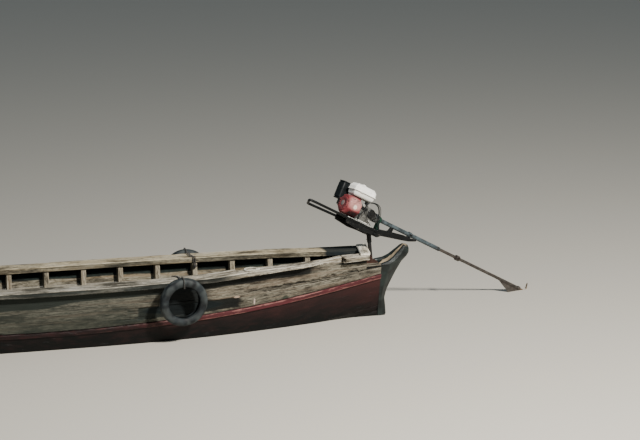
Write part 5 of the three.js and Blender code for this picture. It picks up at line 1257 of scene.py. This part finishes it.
def painted_steel(name, paint, faded, under, dirt, roughness=0.5, chips=0.60, dirty=0.5, rust_below=None,
                  zones=()):
    """Sprayed or brushed paint on steel: faded in clouds, chipped through at edges, with oily dirt.

    Chips are 4 to 15 mm, and below a height the paint has given way to rust. zones are as for wood.
    """
    material, tree, shader = finish(name, paint, roughness, sheen=0.2)
    place = add(tree, "TexCoord", {}, "Object")
    noise = {}
    for part, (size, detail, rough) in {"clouds": (0.09, 4.0, 0.6), "chips": (0.011, 6.0, 0.65),
                                        "dirt": (0.045, 6.0, 0.68), "grit": (0.0022, 2.0, 0.5)}.items():
        noise[part] = add(tree, "TexNoise", {0: place, "Scale": 1 / size, "Detail": detail,
                                             "Roughness": rough})
    worn = add(tree, "Attribute", {}, 2, attribute_name="worn")
    colour = tinted(tree, linear(paint), (noise["clouds"], 0.36, 0.66, 1, faded))
    edge = add(tree, "Math", {0: worn, 1: 0.13, 2: noise["chips"]}, operation="MULTIPLY_ADD")
    if rust_below:
        height = add(tree, "SeparateXYZ", {0: place}, "Z")
        rusting = add(tree, "MapRange", {0: height, 1: rust_below[1], 2: rust_below[0], 4: 0.30})
        edge = add(tree, "Math", {0: edge, 1: rusting}, operation="ADD")
    flakes = add(tree, "MapRange", {0: edge, 1: chips, 2: chips + 0.05})
    dirt_and_shade = add(tree, "MapRange", {0: noise["dirt"], 1: 0.46, 2: 0.70, 4: dirty})
    # Negative worn darkens towards the dirt colour: oily dirt in hollows, and on the fuel tank's lower half a
    # painted shade.
    hollows = add(tree, "MapRange", {0: worn, 1: 0.0, 2: -1.0, 4: 0.8})
    dirt_and_shade = add(tree, "Math", {0: dirt_and_shade, 1: hollows}, operation="MAXIMUM")
    colour = tint_zones(tree, colour, noise["dirt"], zones)
    colour = tinted(tree, colour, (flakes, 0, 1, 1, under), (dirt_and_shade, 0, 1, 1, dirt))
    dull = add(tree, "Math", {0: flakes, 1: dirt_and_shade}, operation="MAXIMUM")
    relief = add(tree, "Math", {0: noise["grit"], 1: flakes}, operation="SUBTRACT")
    wired(tree, shader, colour, relief, 0.45, 0.0008, add(tree, "MapRange", {0: dull, 3: roughness, 4: 0.85}))
    return material


def bare_metal(name, clean, dull, stain, roughness, metal, grain=0.0016, stained=0.6):
    """Metal with no paint: a cast or scaled grain, dulled in clouds, with stains and dark hollows."""
    material, tree, shader = finish(name, clean, roughness, metal)
    place = add(tree, "TexCoord", {}, "Object")
    noise = {}
    for part, (size, detail, rough) in {"clouds": (0.040, 5.0, 0.62), "stains": (0.016, 6.0, 0.7),
                                        "grain": (grain, 3.0, 0.6)}.items():
        noise[part] = add(tree, "TexNoise", {0: place, "Scale": 1 / size, "Detail": detail,
                                             "Roughness": rough})
    worn = add(tree, "Attribute", {}, 2, attribute_name="worn")
    stains = add(tree, "MapRange", {0: noise["stains"], 1: 0.47, 2: 0.66, 4: stained})
    hollows = add(tree, "MapRange", {0: worn, 1: 0.0, 2: -1.0})
    stains = add(tree, "Math", {0: stains, 1: hollows}, operation="MAXIMUM")
    colour = tinted(tree, linear(clean), (noise["clouds"], 0.36, 0.64, 1, dull), (worn, 0.2, 1, 0.5, clean),
                    (stains, 0, 1, 1, stain))
    tree.links.new(add(tree, "MapRange", {0: stains, 3: metal, 4: 0.0}), shader.inputs["Metallic"])
    wired(tree, shader, colour, noise["grain"], 0.5, 0.0006,
          add(tree, "MapRange", {0: stains, 3: roughness, 4: 0.88}))
    return material


post_paint = painted_steel("rusting_black_paint_on_post", "#121314", "#232322", "#3d271f", "#1f1814",
                           0.6, 0.62, 0.6, (0.50, 0.60))
FOOT = turn("y", -POST_LEAN)
foot = [set_up(block((-52, -45, 0.2), (58, 45, 10.2), 2, 8, 1.6), (0, 0, 0), FOOT)]
foot += [set_up(shape, (0, 0, 0), FOOT) for shape in bolts(
    [(x, y, 10.2) for x in (-38, 44) for y in (-32, 32)], (0, 0, 1), 9, 6)]
tube = turned([(6, 17), (60, 17), (120, 17), (178, 17), (181, 17.6), (183.4, 17.2), (184, 16), (184, 11),
               (244, 11), (245, 9)], 2)
angle = np.linspace(0, 2 * np.pi, 40)
fitted("motor_post", foot + [tube, weld(np.stack([
    18.5 * np.cos(angle), 18.5 * np.sin(angle), 12.5 + 1.6 * np.cos(angle)], -1), 4.0)],
    post_paint, "rusty_steel", "hull")


# Yoke: a steel sleeve that swings on the post's spigot, welded under a cross tube for the tilt pin.
# Its sprayed black paint has a low shine, and shows grey steel where edges are chipped.
black_paint = painted_steel("chipped_black_paint_on_steel", "#08090a", "#0f1213", "#54504a", "#0c0a09",
                            0.34, 0.68, 0.5)
sleeve = turned([(196, 12), (185, 12), (185, 19.5), (186.5, 21), (224, 21), (262, 21), (270, 19)], 2)
cross = turned([(-58, 10), (-70, 10), (-70, 17.6), (-68.4, 19), (-20, 19), (20, 19), (68.4, 19), (70, 17.6),
                (70, 10), (58, 10)], 1, (0, 0, PIVOT_HEIGHT))
joint = np.stack([21.8 * np.cos(angle), 21.8 * np.sin(angle), 260 + 3.5 * np.abs(np.sin(angle)) * -1.4], -1)
nipple = turned([(20, 4.2), (25, 4.2), (25, 2.4), (29, 2.4), (31, 3.2), (33, 2.0)], 0, (0, 0, 218), 12)
fitted("motor_yoke", [sleeve, cross, weld(joint, 4.0), nipple], black_paint, "black_steel", "yoke")


# Frame: two handle rails joined by a bent end bar that sits askew, an engine bed, deep side plates with
# the tilt pin, and aft of the crossbar one deep chord with a strut, which carries the tail. All is welded.
RAIL_Y, RAIL_RADIUS, SHAFT_Z, BED_TOP = 85.0, 12.0, 143.0, 37.0
RAILS = {1: np.array([(-20, 85, 28), (345, 85, 29), (785, 64, 30)], float),
         -1: np.array([(-20, -85, 28), (345, -85, 17), (710, -64, 6)], float)}


def rail_z(x, side):
    """The height of the port or starboard handle rail at a distance ahead of the pivot."""
    return np.interp(x, RAILS[side][:, 0], RAILS[side][:, 2])


def bent_rail(side, *bend):
    """The points of one rail: straight past the engine, then drawing in to its bend at the end bar."""
    aft, mid, end = RAILS[side]
    return [aft, 0.5 * (aft + mid), mid, 0.5 * (mid + end), 0.14 * mid + 0.86 * end, *bend]


def round_tube(radius, sides=20):
    """The outline of a round tube for swept()."""
    return lambda far: (full_circle(sides)[None, :] + 0 * far, radius + 0 * far)


bow = bent_rail(1, (763, 58.5, 29.2), (766, 47, 26.5)) + [(736, 0, 18)] + bent_rail(
    -1, (696, -59, 6.8), (704, -47, 9))[::-1]
rails = swept(smooth_path(bow, 170), round_tube(RAIL_RADIUS - 0.3))
SIDE_PLATE = [(345, 42), (345, -12), (182, -28), (60, -20), (-40, -20), (-74, 8), (-74, 42)]
PIN_END = [(88, 17), (93, 17), (94.5, 15.5), (94.5, 9.5), (103, 9.5), (104, 8)]
shapes = [(rails, 0.15), block((60, -92, 30), (330, 92, BED_TOP), 2, 6, 1.2)]
for side in (-1, 1):
    outline = [(z, x) for x, z in SIDE_PLATE]
    shapes.append(slab(outline, *sorted((side * 82, side * 90)), 1, 9, 1.2))
    shapes.append(turned([(side * at, radius) for at, radius in PIN_END[::side]], 1, sides=24))
    shapes += [weld([(x, side * (RAIL_Y - 11), rail_z(x, side) - 7) for x in (-10, 110, 230, 338)], 3.6),
               weld([(x, side * 92, 37.5) for x in (64, 150, 240, 326)], 3.2)]
shapes.append(turned([(-92, 9), (92, 9)], 1, sides=24))
shapes += [block((-76, -RAIL_Y, 14), (-66, RAIL_Y, BED_TOP), 1, 3, 1.2),
           block((-76, -RAIL_Y, 29), (-36, RAIL_Y, BED_TOP), 1, 3, 1.2)]
#    x     low   high  half-width
CHORD = np.array([
    [-70, 4, 62, 30], [-200, 31, 88, 26], [-363, 63, 114, 22], [-440, 80, 117, 18],
    [-462, 88, 117, 17], [-524, 111, 128, 15]], float)
x, low, high, half = CHORD.T
rings, _, worn = long_bar(x, ((half, low), (half, high), (-half, high), (-half, low)), (5, 5, 5, 5), 2.2)
shapes.append((rings, worn * 0.8))
aft, fore, z = np.array([[-232, -187, 70], [-239, -209, 130]], float).T
corners = np.stack([np.stack([x, 0 * x + y, z], -1) for x, y in (
    (aft, -12), (fore, -12), (fore, 12), (aft, 12))])
rings, _, worn = bar_rings(corners, (4, 4, 4, 4), 2.0)
shapes.append((rings, worn * 0.8))
for x, z, dx in ((-210, 88, 20), (-224, 126, 14), (-520, 126, 6)):
    shapes += [weld([(x - dx, y, z), (x, y * 1.04, z + 1.5), (x + dx, y, z)], 3.4) for y in (-13, 13)]
shapes += [weld([(-78, y, z) for y in (-28, -10, 10, 28)], 3.6) for z in (18, 60)]
shapes += bolts([(x, y, BED_TOP) for x in (84, 306) for y in (-82, 82)], (0, 0, 1), 8, 5)
fitted("motor_frame", shapes, black_paint, "black_steel")


# Engine block: an aluminium casting in two halves on its feet, with the tail shaft's boss aft, an oil
# plug on the port side, and two posts that carry the tank. Its hollows are full of oily dirt.
casting = bare_metal("oily_cast_aluminium", "#7a7974", "#35342f", "#100e0b", 0.5, 0.5, 0.0018, 1.0)
CASE = [(-72, 47), (72, 47), (80, 68), (80, 170), (56, 199), (-56, 199), (-84, 166), (-84, 68)]
shapes = [slab(CASE, 95, 244, 0, 12, 2.5, [(150, 0), (150.6, 3.2), (160.4, 3.2), (161, 0), (225, 0),
                                           (225.5, 2), (236, 2)]),
          block((87, -68, 37.3), (242, 68, 48), 2, 5, 1.6),
          turned([(67, 30), (67, 36), (69, 38), (90, 46), (97, 51)], 0, (0, 0, SHAFT_Z)),
          turned([(78, 27), (84, 27), (86, 25), (86, 19), (88.5, 18), (88.5, 10)], 1, (178, 0, 112), 28)]
shapes += [block((x, -26, 190), (x + 16, 6, 242.7), 2, 4, 1.4) for x in (130, 214)]
shapes += bolts([(x, y, 48) for x in (104, 226) for y in (-60, 60)], (0, 0, 1), 8, 5)
shapes += bolts([(152, y, 202) for y in (-46, 46)], (0, 0.3, 1), 6, 4)
shapes += bolts([(x, 80, z) for x, z in ((112, 82), (112, 156), (206, 82), (206, 156))], (0, 1, 0), 6.5, 4.5)
shapes += bolts([(95, 62 * np.cos(t), 123 + 58 * np.sin(t)) for t in np.radians([20, 160, 200, 340, 270])],
                (-1, 0, 0), 6.5, 4.5)
shapes += [block((x, 78, 92), (x + width, 83.5, 150), 2, 2, 1.0) for x, width in ((120, 8), (222, 7))]
fitted("crankcase", shapes, casting, "cast_aluminium")
sooty_steel = painted_steel("oily_black_enamel", "#101213", "#1b1d1e", "#3a3029", "#14110d", 0.38, 0.70, 0.7)
disc = turned([(79, 36), (84, 42), (90, 42), (93, 39), (94, 33), (91, 30), (91, 14), (95, 12), (95, 5)], 1,
              (112, 0, 148), 40)
shapes = [(disc, np.array([0, 0.6, 0.8, 0.8, 0, -0.8, -0.5, 0.6, 0.4])[:, None])]
sixths = np.radians(np.arange(0, 360, 60))
shapes += bolts([(112 + 36 * np.sin(t), 93, 148 + 36 * np.cos(t)) for t in sixths + np.radians(20)],
                (0, 1, 0), 6, 4)
shapes += [block((168, 80, 156), (240, 90, 178), 1, 5, 1.5, [(86, 1)]),
           block((186, 88, 120), (194, 94, 172), 1, 3, 1.0),
           turned([(80, 7), (98, 7), (99, 5)], 1, (190, 0, 166), 14),
           block((226, 80, 56), (240, 96, 110), 1, 4, 1.4)]
for radius, rod in ((2.6, [(190, 96, 166), (170, 99, 128), (140, 98, 84), (96, 92, 62), (70, 80, 50)]),
                    (3.4, [(236, 92, 108), (210, 97, 134), (204, 97, 170), (190, 92, 214), (168, 80, 232)])):
    shapes.append(swept(smooth_path(rod, 40), round_tube(radius, 10)))
fitted("engine_linkage", shapes, sooty_steel, "black_steel", node="none")
bright_plug = bare_metal("bright_plated_plug", "#c9c8c2", "#8f8e88", "#3b3833", 0.3, 0.85, 0.002, 0.35)
shapes = [turned([(78, 15), (83, 15), (84, 12), (92, 12), (93, 10), (93, 4)], 1, (216, 0, 189), 28),
          turned([(80, 11), (86, 11), (87, 8), (87, 3)], 1, (112, 0, 84), 24),
          block((156, 70, 200), (161, 74, 242), 2, 2, 0.6)]
fitted("engine_plugs", shapes, bright_plug, "cast_aluminium", node="none")
# Painted highlight: pale strips along the port side plate's top and the engine feet stand in for light caught
# on their edges.
edge_highlight_paint = painted_steel("pale_paint_as_edge_highlight", "#cfcfc9", "#b2b2ab", "#6b6458", "#4a463f",
                             0.45, 0.66, 0.4)
shapes = [block((66, 89.6, 31.5), (344, 92.8, 43.0), 0, 1.2, 0.6),
          block((92, 68, 48.2), (244, 78, 57), 0, 1.2, 0.6)]
fitted("bed_edge", shapes, edge_highlight_paint, "black_steel", node="none")


# Cylinder: it leans out to starboard under thin cooling fins, with the ribbed head bolted on outermost.
# Both are cast aluminium like the block, dark with oil and grey on the fins' edges.
LEAN = turn("x", 65)
CYLINDER_FOOT = (0, -84.3, 143)
shapes = [block((118, -44, -10), (222, 44, 98), 2, 20, 2)]
shapes += [block((106, -54, h), (234, min(54, 2.1 * h), h + 4.2), 2, 22, 0.9) for h in range(18, 90, 13)]
fitted("cylinder", [set_up(shape, CYLINDER_FOOT, LEAN) for shape in shapes], casting, "cast_aluminium")
shapes = [block((112, -42, 98.3), (228, 42, 124), 2, 18, 2.5, [(106, 0), (106.5, -3), (112, -3), (112.5, 0)])]
shapes += [block((128 + 16 * k, -34, 122), (132 + 16 * k, 34, 130), 2, 2, 1.0) for k in range(6)]
shapes += bolts([(x, y, 124) for x in (121, 219) for y in (-33, 33)], (0, 0, 1), 8, 5)
fitted("cylinder_head", [set_up(shape, CYLINDER_FOOT, LEAN) for shape in shapes], casting, "cast_aluminium")


# Fan cover: pressed steel in an octagon, red paint gone chalky, with the recoil starter bolted in front.
# Its slots are near-black panels painted as the shade inside them. Its upper port side has a pale pink patch,
# chalked paint and painted highlight; the label's place is a paler spot, a label's remains and a painted
# highlight; and its foot is darkened, oily dirt and painted shade.
def on_motor(x, y, z):
    """Where a point in the motor's own millimetres stands in the boat."""
    return MM * np.array([x, y, z]) @ TURNS["motor"].T + PLACES["motor"]


def round_shaft(x, radius, angles):
    """Places on a circle round the shaft's line, at angles in radians."""
    return [(x, radius * np.cos(t), SHAFT_Z + radius * np.sin(t)) for t in angles]


# A pale pink patch on the upper port flats, chalked paint and painted highlight; a paler spot, a label's
# remains and a painted highlight; and the foot darkened by oil and painted shade.
chalk_and_highlight = (on_motor(300, 84, SHAFT_Z + 36), (0.085, 0.055, 0.062), 0.45, 0.74, "#b98c84")
label_and_highlight = (on_motor(306, 92, SHAFT_Z - 2), (0.019, 0.030, 0.019), 0.35, 0.85, "#dccfc0")
oil_and_shade_at_foot = (on_motor(310, 40, SHAFT_Z - 92), (0.10, 0.09, 0.045), 0.50, 0.75, "#1f1012")
red_enamel = painted_steel("chalky_red_enamel_on_pressed_steel", "#6a2229", "#8f4a4b", "#2c1c1a", "#1e1212",
                           0.36, 0.68, 0.6, zones=(chalk_and_highlight, label_and_highlight, oil_and_shade_at_foot))
black_moulding = painted_steel("dusty_black_moulded_plastic", "#0b0f10", "#14191b", "#2a2a27", "#1b1a17",
                               0.45, 0.75, 0.4)
painted_slot_shade = bare_metal("near_black_panels_painted_as_slot_shade", "#0b0c0d", "#111213", "#060606", 0.9, 0.0, 0.003, 0.3)
angles = np.pi / 8 + np.arange(8) * np.pi / 4
octagon = np.array(round_shaft(0, 97, angles))[:, 1:]
outline, tone = soft_corners(octagon, 7, 5, 3)
grid = []
for x, depth in ((244.3, 8), (244.3, 0), (247, -1.2), (251, -1.2), (252, 0.8), (300, 0.6), (352, 0.6),
                 (358, 1.2), (364, 4.5), (372, 9), (378, 13), (380, 16), (380, 22), (379, 30), (379, 40)):
    ring = drawn_in(outline, depth)
    grid.append(np.column_stack([np.full(len(ring), x), ring]))
grid = np.array(grid)
tone = 0.75 * tone[None, :] * np.array([0, 1, 1, 1, -0.5, 1, 1, 1, 1, 0.8, 0.5, 0.4, 0, -0.6, -0.6])[:, None]
shapes = [(grid, tone)] + bolts(round_shaft(380, 78, angles[::2]), (1, 0, 0), 6, 4)
fitted("fan_cover", shapes, red_enamel, "red_cover")
flat = np.pi / 4 * np.arange(8)


def on_flat(k, x0, x1, width, proud, radius=3.0):
    """A thin rounded panel on the octagon's flat k, from x0 to x1 along the motor."""
    c, s = np.cos(flat[k]), np.sin(flat[k])
    half = width / 2
    shape = slab([(x0, -half), (x1, -half), (x1, half), (x0, half)], -1.0, proud, 2, radius, 0.4)
    return set_up(shape, (0, 89 * c, SHAFT_Z + 89 * s), [[1, 0, 0], [0, -s, c], [0, c, s]])


# The slots are thin near-black panels on the cover, painted as the shade inside real openings.
slots = [on_flat(k, x, x + 30, 6, 1.2, 2.8) for k in (1, 7) for x in (262, 312)]
slots += [on_flat(7, 268 + 22 * n, 276 + 22 * n, 44, 1.3, 3.5) for n in range(4)]
slot, tone = slab([(-3, -3.4), (15, -2.6), (15, 2.6), (-3, 3.4)], -0.5, 0.7, 2, 2.4, 0.3)
for degrees in range(11, 371, 24):
    place = round_shaft(389.4, 42, [np.radians(degrees)])[0]
    slots.append(set_up((slot[..., [2, 0, 1]], tone), place, turn("x", degrees)))
fitted("fan_slots", [(grid, -0.4) for grid, tone in slots], painted_slot_shade, "black_plastic", node="none")
starter_disc = turned([(380.3, 58), (380.3, 66), (386.3, 66), (389.3, 61), (389.3, 36), (388, 34), (388, 27),
                       (389.3, 26), (389.3, 6)], 0, (0, 0, SHAFT_Z), 56)
tones = np.array([0, 1, 1, 0.5, 0, -0.7, -0.7, 0.4, 0])[:, None]
shapes = [(starter_disc, tones), block((383, -78, SHAFT_Z + 23), (389, -52, SHAFT_Z + 39), 0, 5, 1.2)]
shapes += bolts(round_shaft(386, 62, np.radians([35, 125, 215, 305])), (1, 0, 0), 5, 3)
fitted("recoil_starter", shapes, red_enamel, "red_cover")
grip = turned([(388, 4), (389, 6.6), (392, 7), (396, 5.6), (399, 5.6), (402, 7), (404, 6.6), (404.5, 4)], 0,
              (0, -70, SHAFT_Z + 31), 20)
fitted("starter_grip", [(grip, -0.4)], black_moulding, "black_plastic", node="none")
grey_disc = painted_steel("scuffed_grey_label_disc", "#6b6462", "#7d7572", "#4c3a37", "#4d403d", 0.5, 0.60,
                          0.6)
disc = turned([(389, 23), (390.4, 23), (390.8, 22), (390.8, 6)], 0, (0, 0, SHAFT_Z), 40)
fitted("starter_label_disc", [(disc, 0.1)], grey_disc, "red_cover", node="none")


# Fuel tank: two pressed steel halves joined at a flange, in white enamel with fuel stains and dust.
# It is bolted on the block's two posts, and has a knurled screw cap.
white_enamel = painted_steel("scuffed_white_enamel", "#f6f5f0", "#eceae3", "#6f5a48", "#97938a", 0.34, 0.72,
                             0.30)
cut = 27.0
corners = np.array([(94 + cut, -92), (352 - cut, -92), (352, -92 + cut), (352, 66 - cut), (352 - cut, 66),
                    (94 + cut, 66), (94, 66 - cut), (94, -92 + cut)])
#                height  depth  wear (negative below the flange: painted shade on the lower half)
rows = [(243, 40, -0.9), (243, 34, -0.8), (245, 28, -0.7), (250, 20, -0.6), (257, 15, -0.5), (272, 12, -0.45),
        (288, 10.5, -0.5), (291.6, 10, -1.0), (292, -1.4, 0.6), (293, -2, 1), (296, -2, 1), (297, -1.4, 0.6),
        (297.4, 6, -0.4), (300, 6.5, 0), (318, 7, 0), (330, 8.4, 0), (333, 10, 0.2), (352.5, 28, 0),
        (356.5, 33, 0.2), (358, 40, 0), (358, 52, 0), (358, 66, 0)]
outline, _ = soft_corners(corners, 9, 5, 5)
grid = np.array([
    np.column_stack([drawn_in(outline, depth), np.full(len(outline), z)]) for z, depth, _ in rows])
# The lower half, below the flange, is painted darker as shade, darkest just under the flange.
tone = np.array(rows)[:, 2:]
seam = [block((150, -94, 288), (176, -88, 300), 1, 2, 0.8), block((262, 62, 288), (288, 68, 300), 1, 2, 0.8)]
seam += bolts([(138, -10, 241), (222, -10, 241)], (0, 0, -1), 8, 4)
fitted("fuel_tank", [(grid, tone)] + seam, white_enamel, "white_tank")
knurl = 1 + 0.035 * (np.arange(60) % 2)[None, :, None]
cap = turned([(358.3, 12), (358.3, 20), (359, 22), (364, 22), (365.3, 20), (365.5, 15.6), (368, 15.4),
              (368.8, 13.5), (368.8, 4)], 2, (0, 0, 0), 60)
cap[1:5, :, :2] *= knurl
tones = np.array([0, 0.3, 0.6, 0.6, 0.4, 0, 0.5, 0.4, 0])[:, None]
fitted("fuel_cap", [(cap + np.array([232, -14, 0]), tones)], white_enamel, "white_tank")


# Air cleaner and carburettor on the starboard side, and the exhaust box behind the cylinder.
# The air cleaner is moulded black plastic, dull with dust, the carburettor cast aluminium, and the box
# sheet steel that heat and rain have rusted brown.
shapes = [block((288, -186, 172), (385, -98, 340), 2, 16, 3,
                [(184, -10), (188, -0.5), (196, 0), (262, 0), (263, 2.5), (268, 2.5), (269, 0), (318, 0),
                 (330, -7)])]
shapes += [block((300 + 16 * k, -99, 276), (305 + 16 * k, -96.5, 322), 1, 2, 0.8) for k in range(5)]
shapes += [block((384, -160 + 18 * k, 276), (387, -155 + 18 * k, 322), 0, 2, 0.8) for k in range(3)]
shapes += [block((378, -150, 246), (389, -134, 282), 0, 3, 1.0),
           turned([(338, 12), (344, 12), (344, 5)], 2, (336, -142, 0), 20)]
fitted("air_cleaner", shapes, black_moulding, "black_plastic")
shapes = [block((254, -174, 128), (334, -124, 171.7), 2, 8, 2, [(146, 0), (147, 2), (152, 2), (153, 0)]),
          turned([(234.6, 15), (234.6, 19), (256, 19), (258, 15)], 0, (0, -149, 150), 28),
          turned([(126, 14), (126, 19), (128, 21), (140, 21), (142, 19)], 2, (296, -149, 0), 28),
          block((270, -124, 150), (276, -112, 166), 1, 2, 0.8),
          turned([(-124, 3), (-106, 3), (-104, 2)], 1, (300, 0, 158), 12)]
shapes += bolts([(268, -124, 138), (322, -124, 138)], (0, 1, 0), 5, 3)
fitted("carburettor", shapes, casting, "cast_aluminium")
scorched = bare_metal("scorched_rusty_sheet_steel", "#5c4a3f", "#3d2b22", "#6d3d26", 0.72, 0.35, 0.002, 0.8)
ridges = [(x + dx, grown) for x in (20, 70) for dx, grown in ((0, 0), (0.6, 2), (5, 2), (5.6, 0))]
shapes = [block((2, -192, 128), (94, -104, 214), 0, 20, 4, ridges),
          block((90, -184, 140), (105.7, -116, 204), 0, 8, 1.4),
          turned([(-14, 9), (-14, 11), (4, 11), (6, 9)], 0, (0, -170, 148), 24)]
shapes += bolts([(90, y, z) for y in (-176, -124) for z in (148, 196)], (-1, 0, 0), 8, 5)
fitted("exhaust_box", shapes, scorched, "rusty_steel")


# Coupling between crank and tail shaft in its bell housing, turned from steel and dark with oil, and
# the bearing bracket behind it, welded from plate and brushed green by hand.
bell = turned([(-40, 20), (-40, 24), (-18, 28), (-18, 40), (-16, 42), (8, 42), (10, 40), (10, 32), (40, 32),
               (40, 43), (42, 45), (64, 45), (66.7, 43), (66.7, 30)], 0, (0, 0, SHAFT_Z), 44)
tones = np.array([0, 0.8, -0.5, -0.8, 0.9, 0.9, -0.5, -0.9, -0.9, 0.6, 1, 1, 0.6, 0])[:, None]
shapes = [(bell, tones)]
for x, way in ((10, 1), (-18, -1), (40, -1)):
    shapes += bolts(round_shaft(x, 37, sixths), (way, 0, 0), 7.5, 6)
oily_steel = bare_metal("oily_machined_steel", "#8a8d8c", "#2f3130", "#15130f", 0.35, 0.85, 0.0015, 0.85)
fitted("coupling_housing", shapes, oily_steel, "black_steel")
green_brush_paint = painted_steel("brushed_green_paint", "#123026", "#1f4637", "#231f1a", "#0e1613", 0.45,
                                  0.62, 0.7)
shapes = [turned([(-66, 22), (-66, 28), (-64, 30), (-52, 31), (-42, 34), (-40.3, 32), (-40.3, 22)], 0,
                 (0, 0, SHAFT_Z), 36),
          slab([(-20, 37.3), (20, 37.3), (20, SHAFT_Z), (-20, SHAFT_Z)], -64, -42.3, 0, 3, 1.5),
          block((-66, -34, 37.3), (-40.3, 34, 43), 2, 4, 1.2)]
shapes += bolts([(-53, y, 43) for y in (-27, 27)], (0, 0, 1), 8, 5)
shapes += bolts(round_shaft(-53, 31, (0.6, 2.5)), (0, 0.7, 0.7), 6, 4)
fitted("bearing_bracket", shapes, green_brush_paint, "green_paint")


# Throttle cable: a stiff black sheath standing in an arc, clipped to the engine's top and the frame's shelf,
# with the thin stop wire beside it.
CABLE_RUN = np.array([
    [170, 46, 199.6], [170, 46, 208], [166, 48, 222], [152, 54, 236], [126, 66, 247], [94, 72, 249],
    [60, 71, 238], [34, 69, 212], [16, 66, 180], [2, 62, 142], [-12, 60, 104], [-30, 60, 74], [-42, 60, 56],
    [-44, 60, 46], [-44, 60, 37.6]], float)
bulge = np.sin(np.linspace(0, np.pi, len(CABLE_RUN)))[:, None]
shapes = [swept(smooth_path(CABLE_RUN, 160), round_tube(6, 16)),
          swept(smooth_path(CABLE_RUN + bulge * [-15, 4, 6], 160), round_tube(3, 12)),
          turned([(199, 8), (209, 8), (210, 6)], 2, (170, 46, 0), 16),
          turned([(37.3, 8.5), (47, 8.5), (49, 6)], 2, (-44, 60, 0), 16)]
fitted("throttle_cable", shapes, black_moulding, "black_plastic")


# Tail: a sleeve brushed blue-grey, with clamps, a long steel tube inside it, and a welded fin by the
# propeller. The tube's black scale has gone to a dull brown rust.
pale_brush_paint = painted_steel("brushed_pale_blue_paint", "#4a5458", "#30383a", "#2a2420", "#121211", 0.42,
                                 0.60, 0.9)
sleeve = turned([(-66.3, 15), (-66.3, 18.2), (-68, 19), *[(x, 19) for x in range(-90, -800, -30)], (-813, 19),
                 (-815, 18.2), (-815, 14.4), (-790, 14.4)], 0, (0, 0, SHAFT_Z), 32)
tone = 1.0 * (np.arange(len(sleeve)) > len(sleeve) - 6)[:, None]


def ring_clamp(x, width, radius):
    """A clamp round the tail with two ears and a bolt through them on its port side."""
    a, b = x - width / 2, x + width / 2
    shape = turned([(a, radius - 6), (a, radius - 1.2), (a + 1.5, radius), (b - 1.5, radius),
                    (b, radius - 1.2), (b, radius - 6)], 0, (0, 0, SHAFT_Z), 36)
    ears = [block((a + 3, radius - 4, z), (b - 3, radius + 11, z + 4), 1, 2, 0.9)
            for z in (SHAFT_Z - 6.5, SHAFT_Z + 2.5)]
    return [(shape, 0.5), *ears, *bolts([(x, radius + 5, SHAFT_Z + 6.5)], (0, 0, 1), 7, 5)]


fitted("tail_sleeve", [(sleeve, tone)] + ring_clamp(-436, 34, 25), pale_brush_paint, "pale_paint")
rusty_tube = bare_metal("rusted_black_steel_tube", "#57544e", "#2e2a27", "#38241b", 0.5, 0.55, 0.0025, 0.75)
tube = turned([(-660, 8), (-660, 14), *[(x, 14) for x in range(-700, -1870, -30)], (-1884, 14), (-1886, 13),
               (-1886, 7)], 0, (0, 0, SHAFT_Z), 28)
SKEG = [(SHAFT_Z - 8, -1600), (SHAFT_Z - 8, -1880), (SHAFT_Z - 96, -1880), (SHAFT_Z - 108, -1850)]
shapes = [tube, *ring_clamp(-1053, 40, 25), slab(SKEG, -3, 3, 1, 10, 0.8)]
shapes += [weld([(x, side * 4, SHAFT_Z - 14) for x in (-1618, -1700, -1790, -1876)], 3.2) for side in (-1, 1)]
shapes += [turned([(-1884, 14), (-1884, 17.5), (-1882, 19), (-1858, 19), (-1856, 17.5), (-1856, 14)], 0,
                  (0, 0, SHAFT_Z), 28)]
fitted("tail_tube", shapes, rusty_tube, "tail_steel")


# Propeller: a bronze hub and two broad twisted blades cast in one and fixed on the end of the shaft.
# The bronze has tarnished brown all over, and sand has kept its tips bright.
bronze = bare_metal("tarnished_cast_bronze", "#9a7440", "#6b4d2b", "#3c3526", 0.42, 0.85, 0.002, 0.7)
#    radius half-chord thickness
BLADE = np.array([[12, 20, 9], [24, 28, 8], [40, 34, 7], [54, 34.5, 6], [66, 32, 5], [76, 26, 4],
                  [83, 18, 3.2], [86, 11, 2.6]])
angle = full_circle(36)[None, :]
radius, half_chord, thickness = BLADE.T[:, :, None]
u, v = np.cos(angle) * half_chord, 0.5 * np.sin(angle) * thickness * (1 - 0.35 * np.cos(angle))
twist = np.radians(32 * 20 / radius + 20)
blade = np.stack([-1972 + u * np.sin(twist) + v * np.cos(twist), u * np.cos(twist) - v * np.sin(twist),
                  radius + 0 * u], -1)
tone = np.clip((radius - 40) / 46, 0, 1) * np.abs(np.cos(angle))
hub = turned([(-2024, 3), (-2021, 8), (-2018, 10.5), (-2012, 12.5), (-2006, 14), (-1986, 18.2), (-1980, 19),
              (-1948, 19), (-1946, 18), (-1946, 8), (-1887, 8), (-1886.5, 7)], 0, (0, 0, SHAFT_Z), 36)
shapes = [(hub, 0.2)]
shapes += [set_up((blade, tone), (0, 0, SHAFT_Z), turn("x", degrees)) for degrees in (20, 200)]
fitted("propeller", shapes, bronze, "bronze", "propeller", sharp=50)
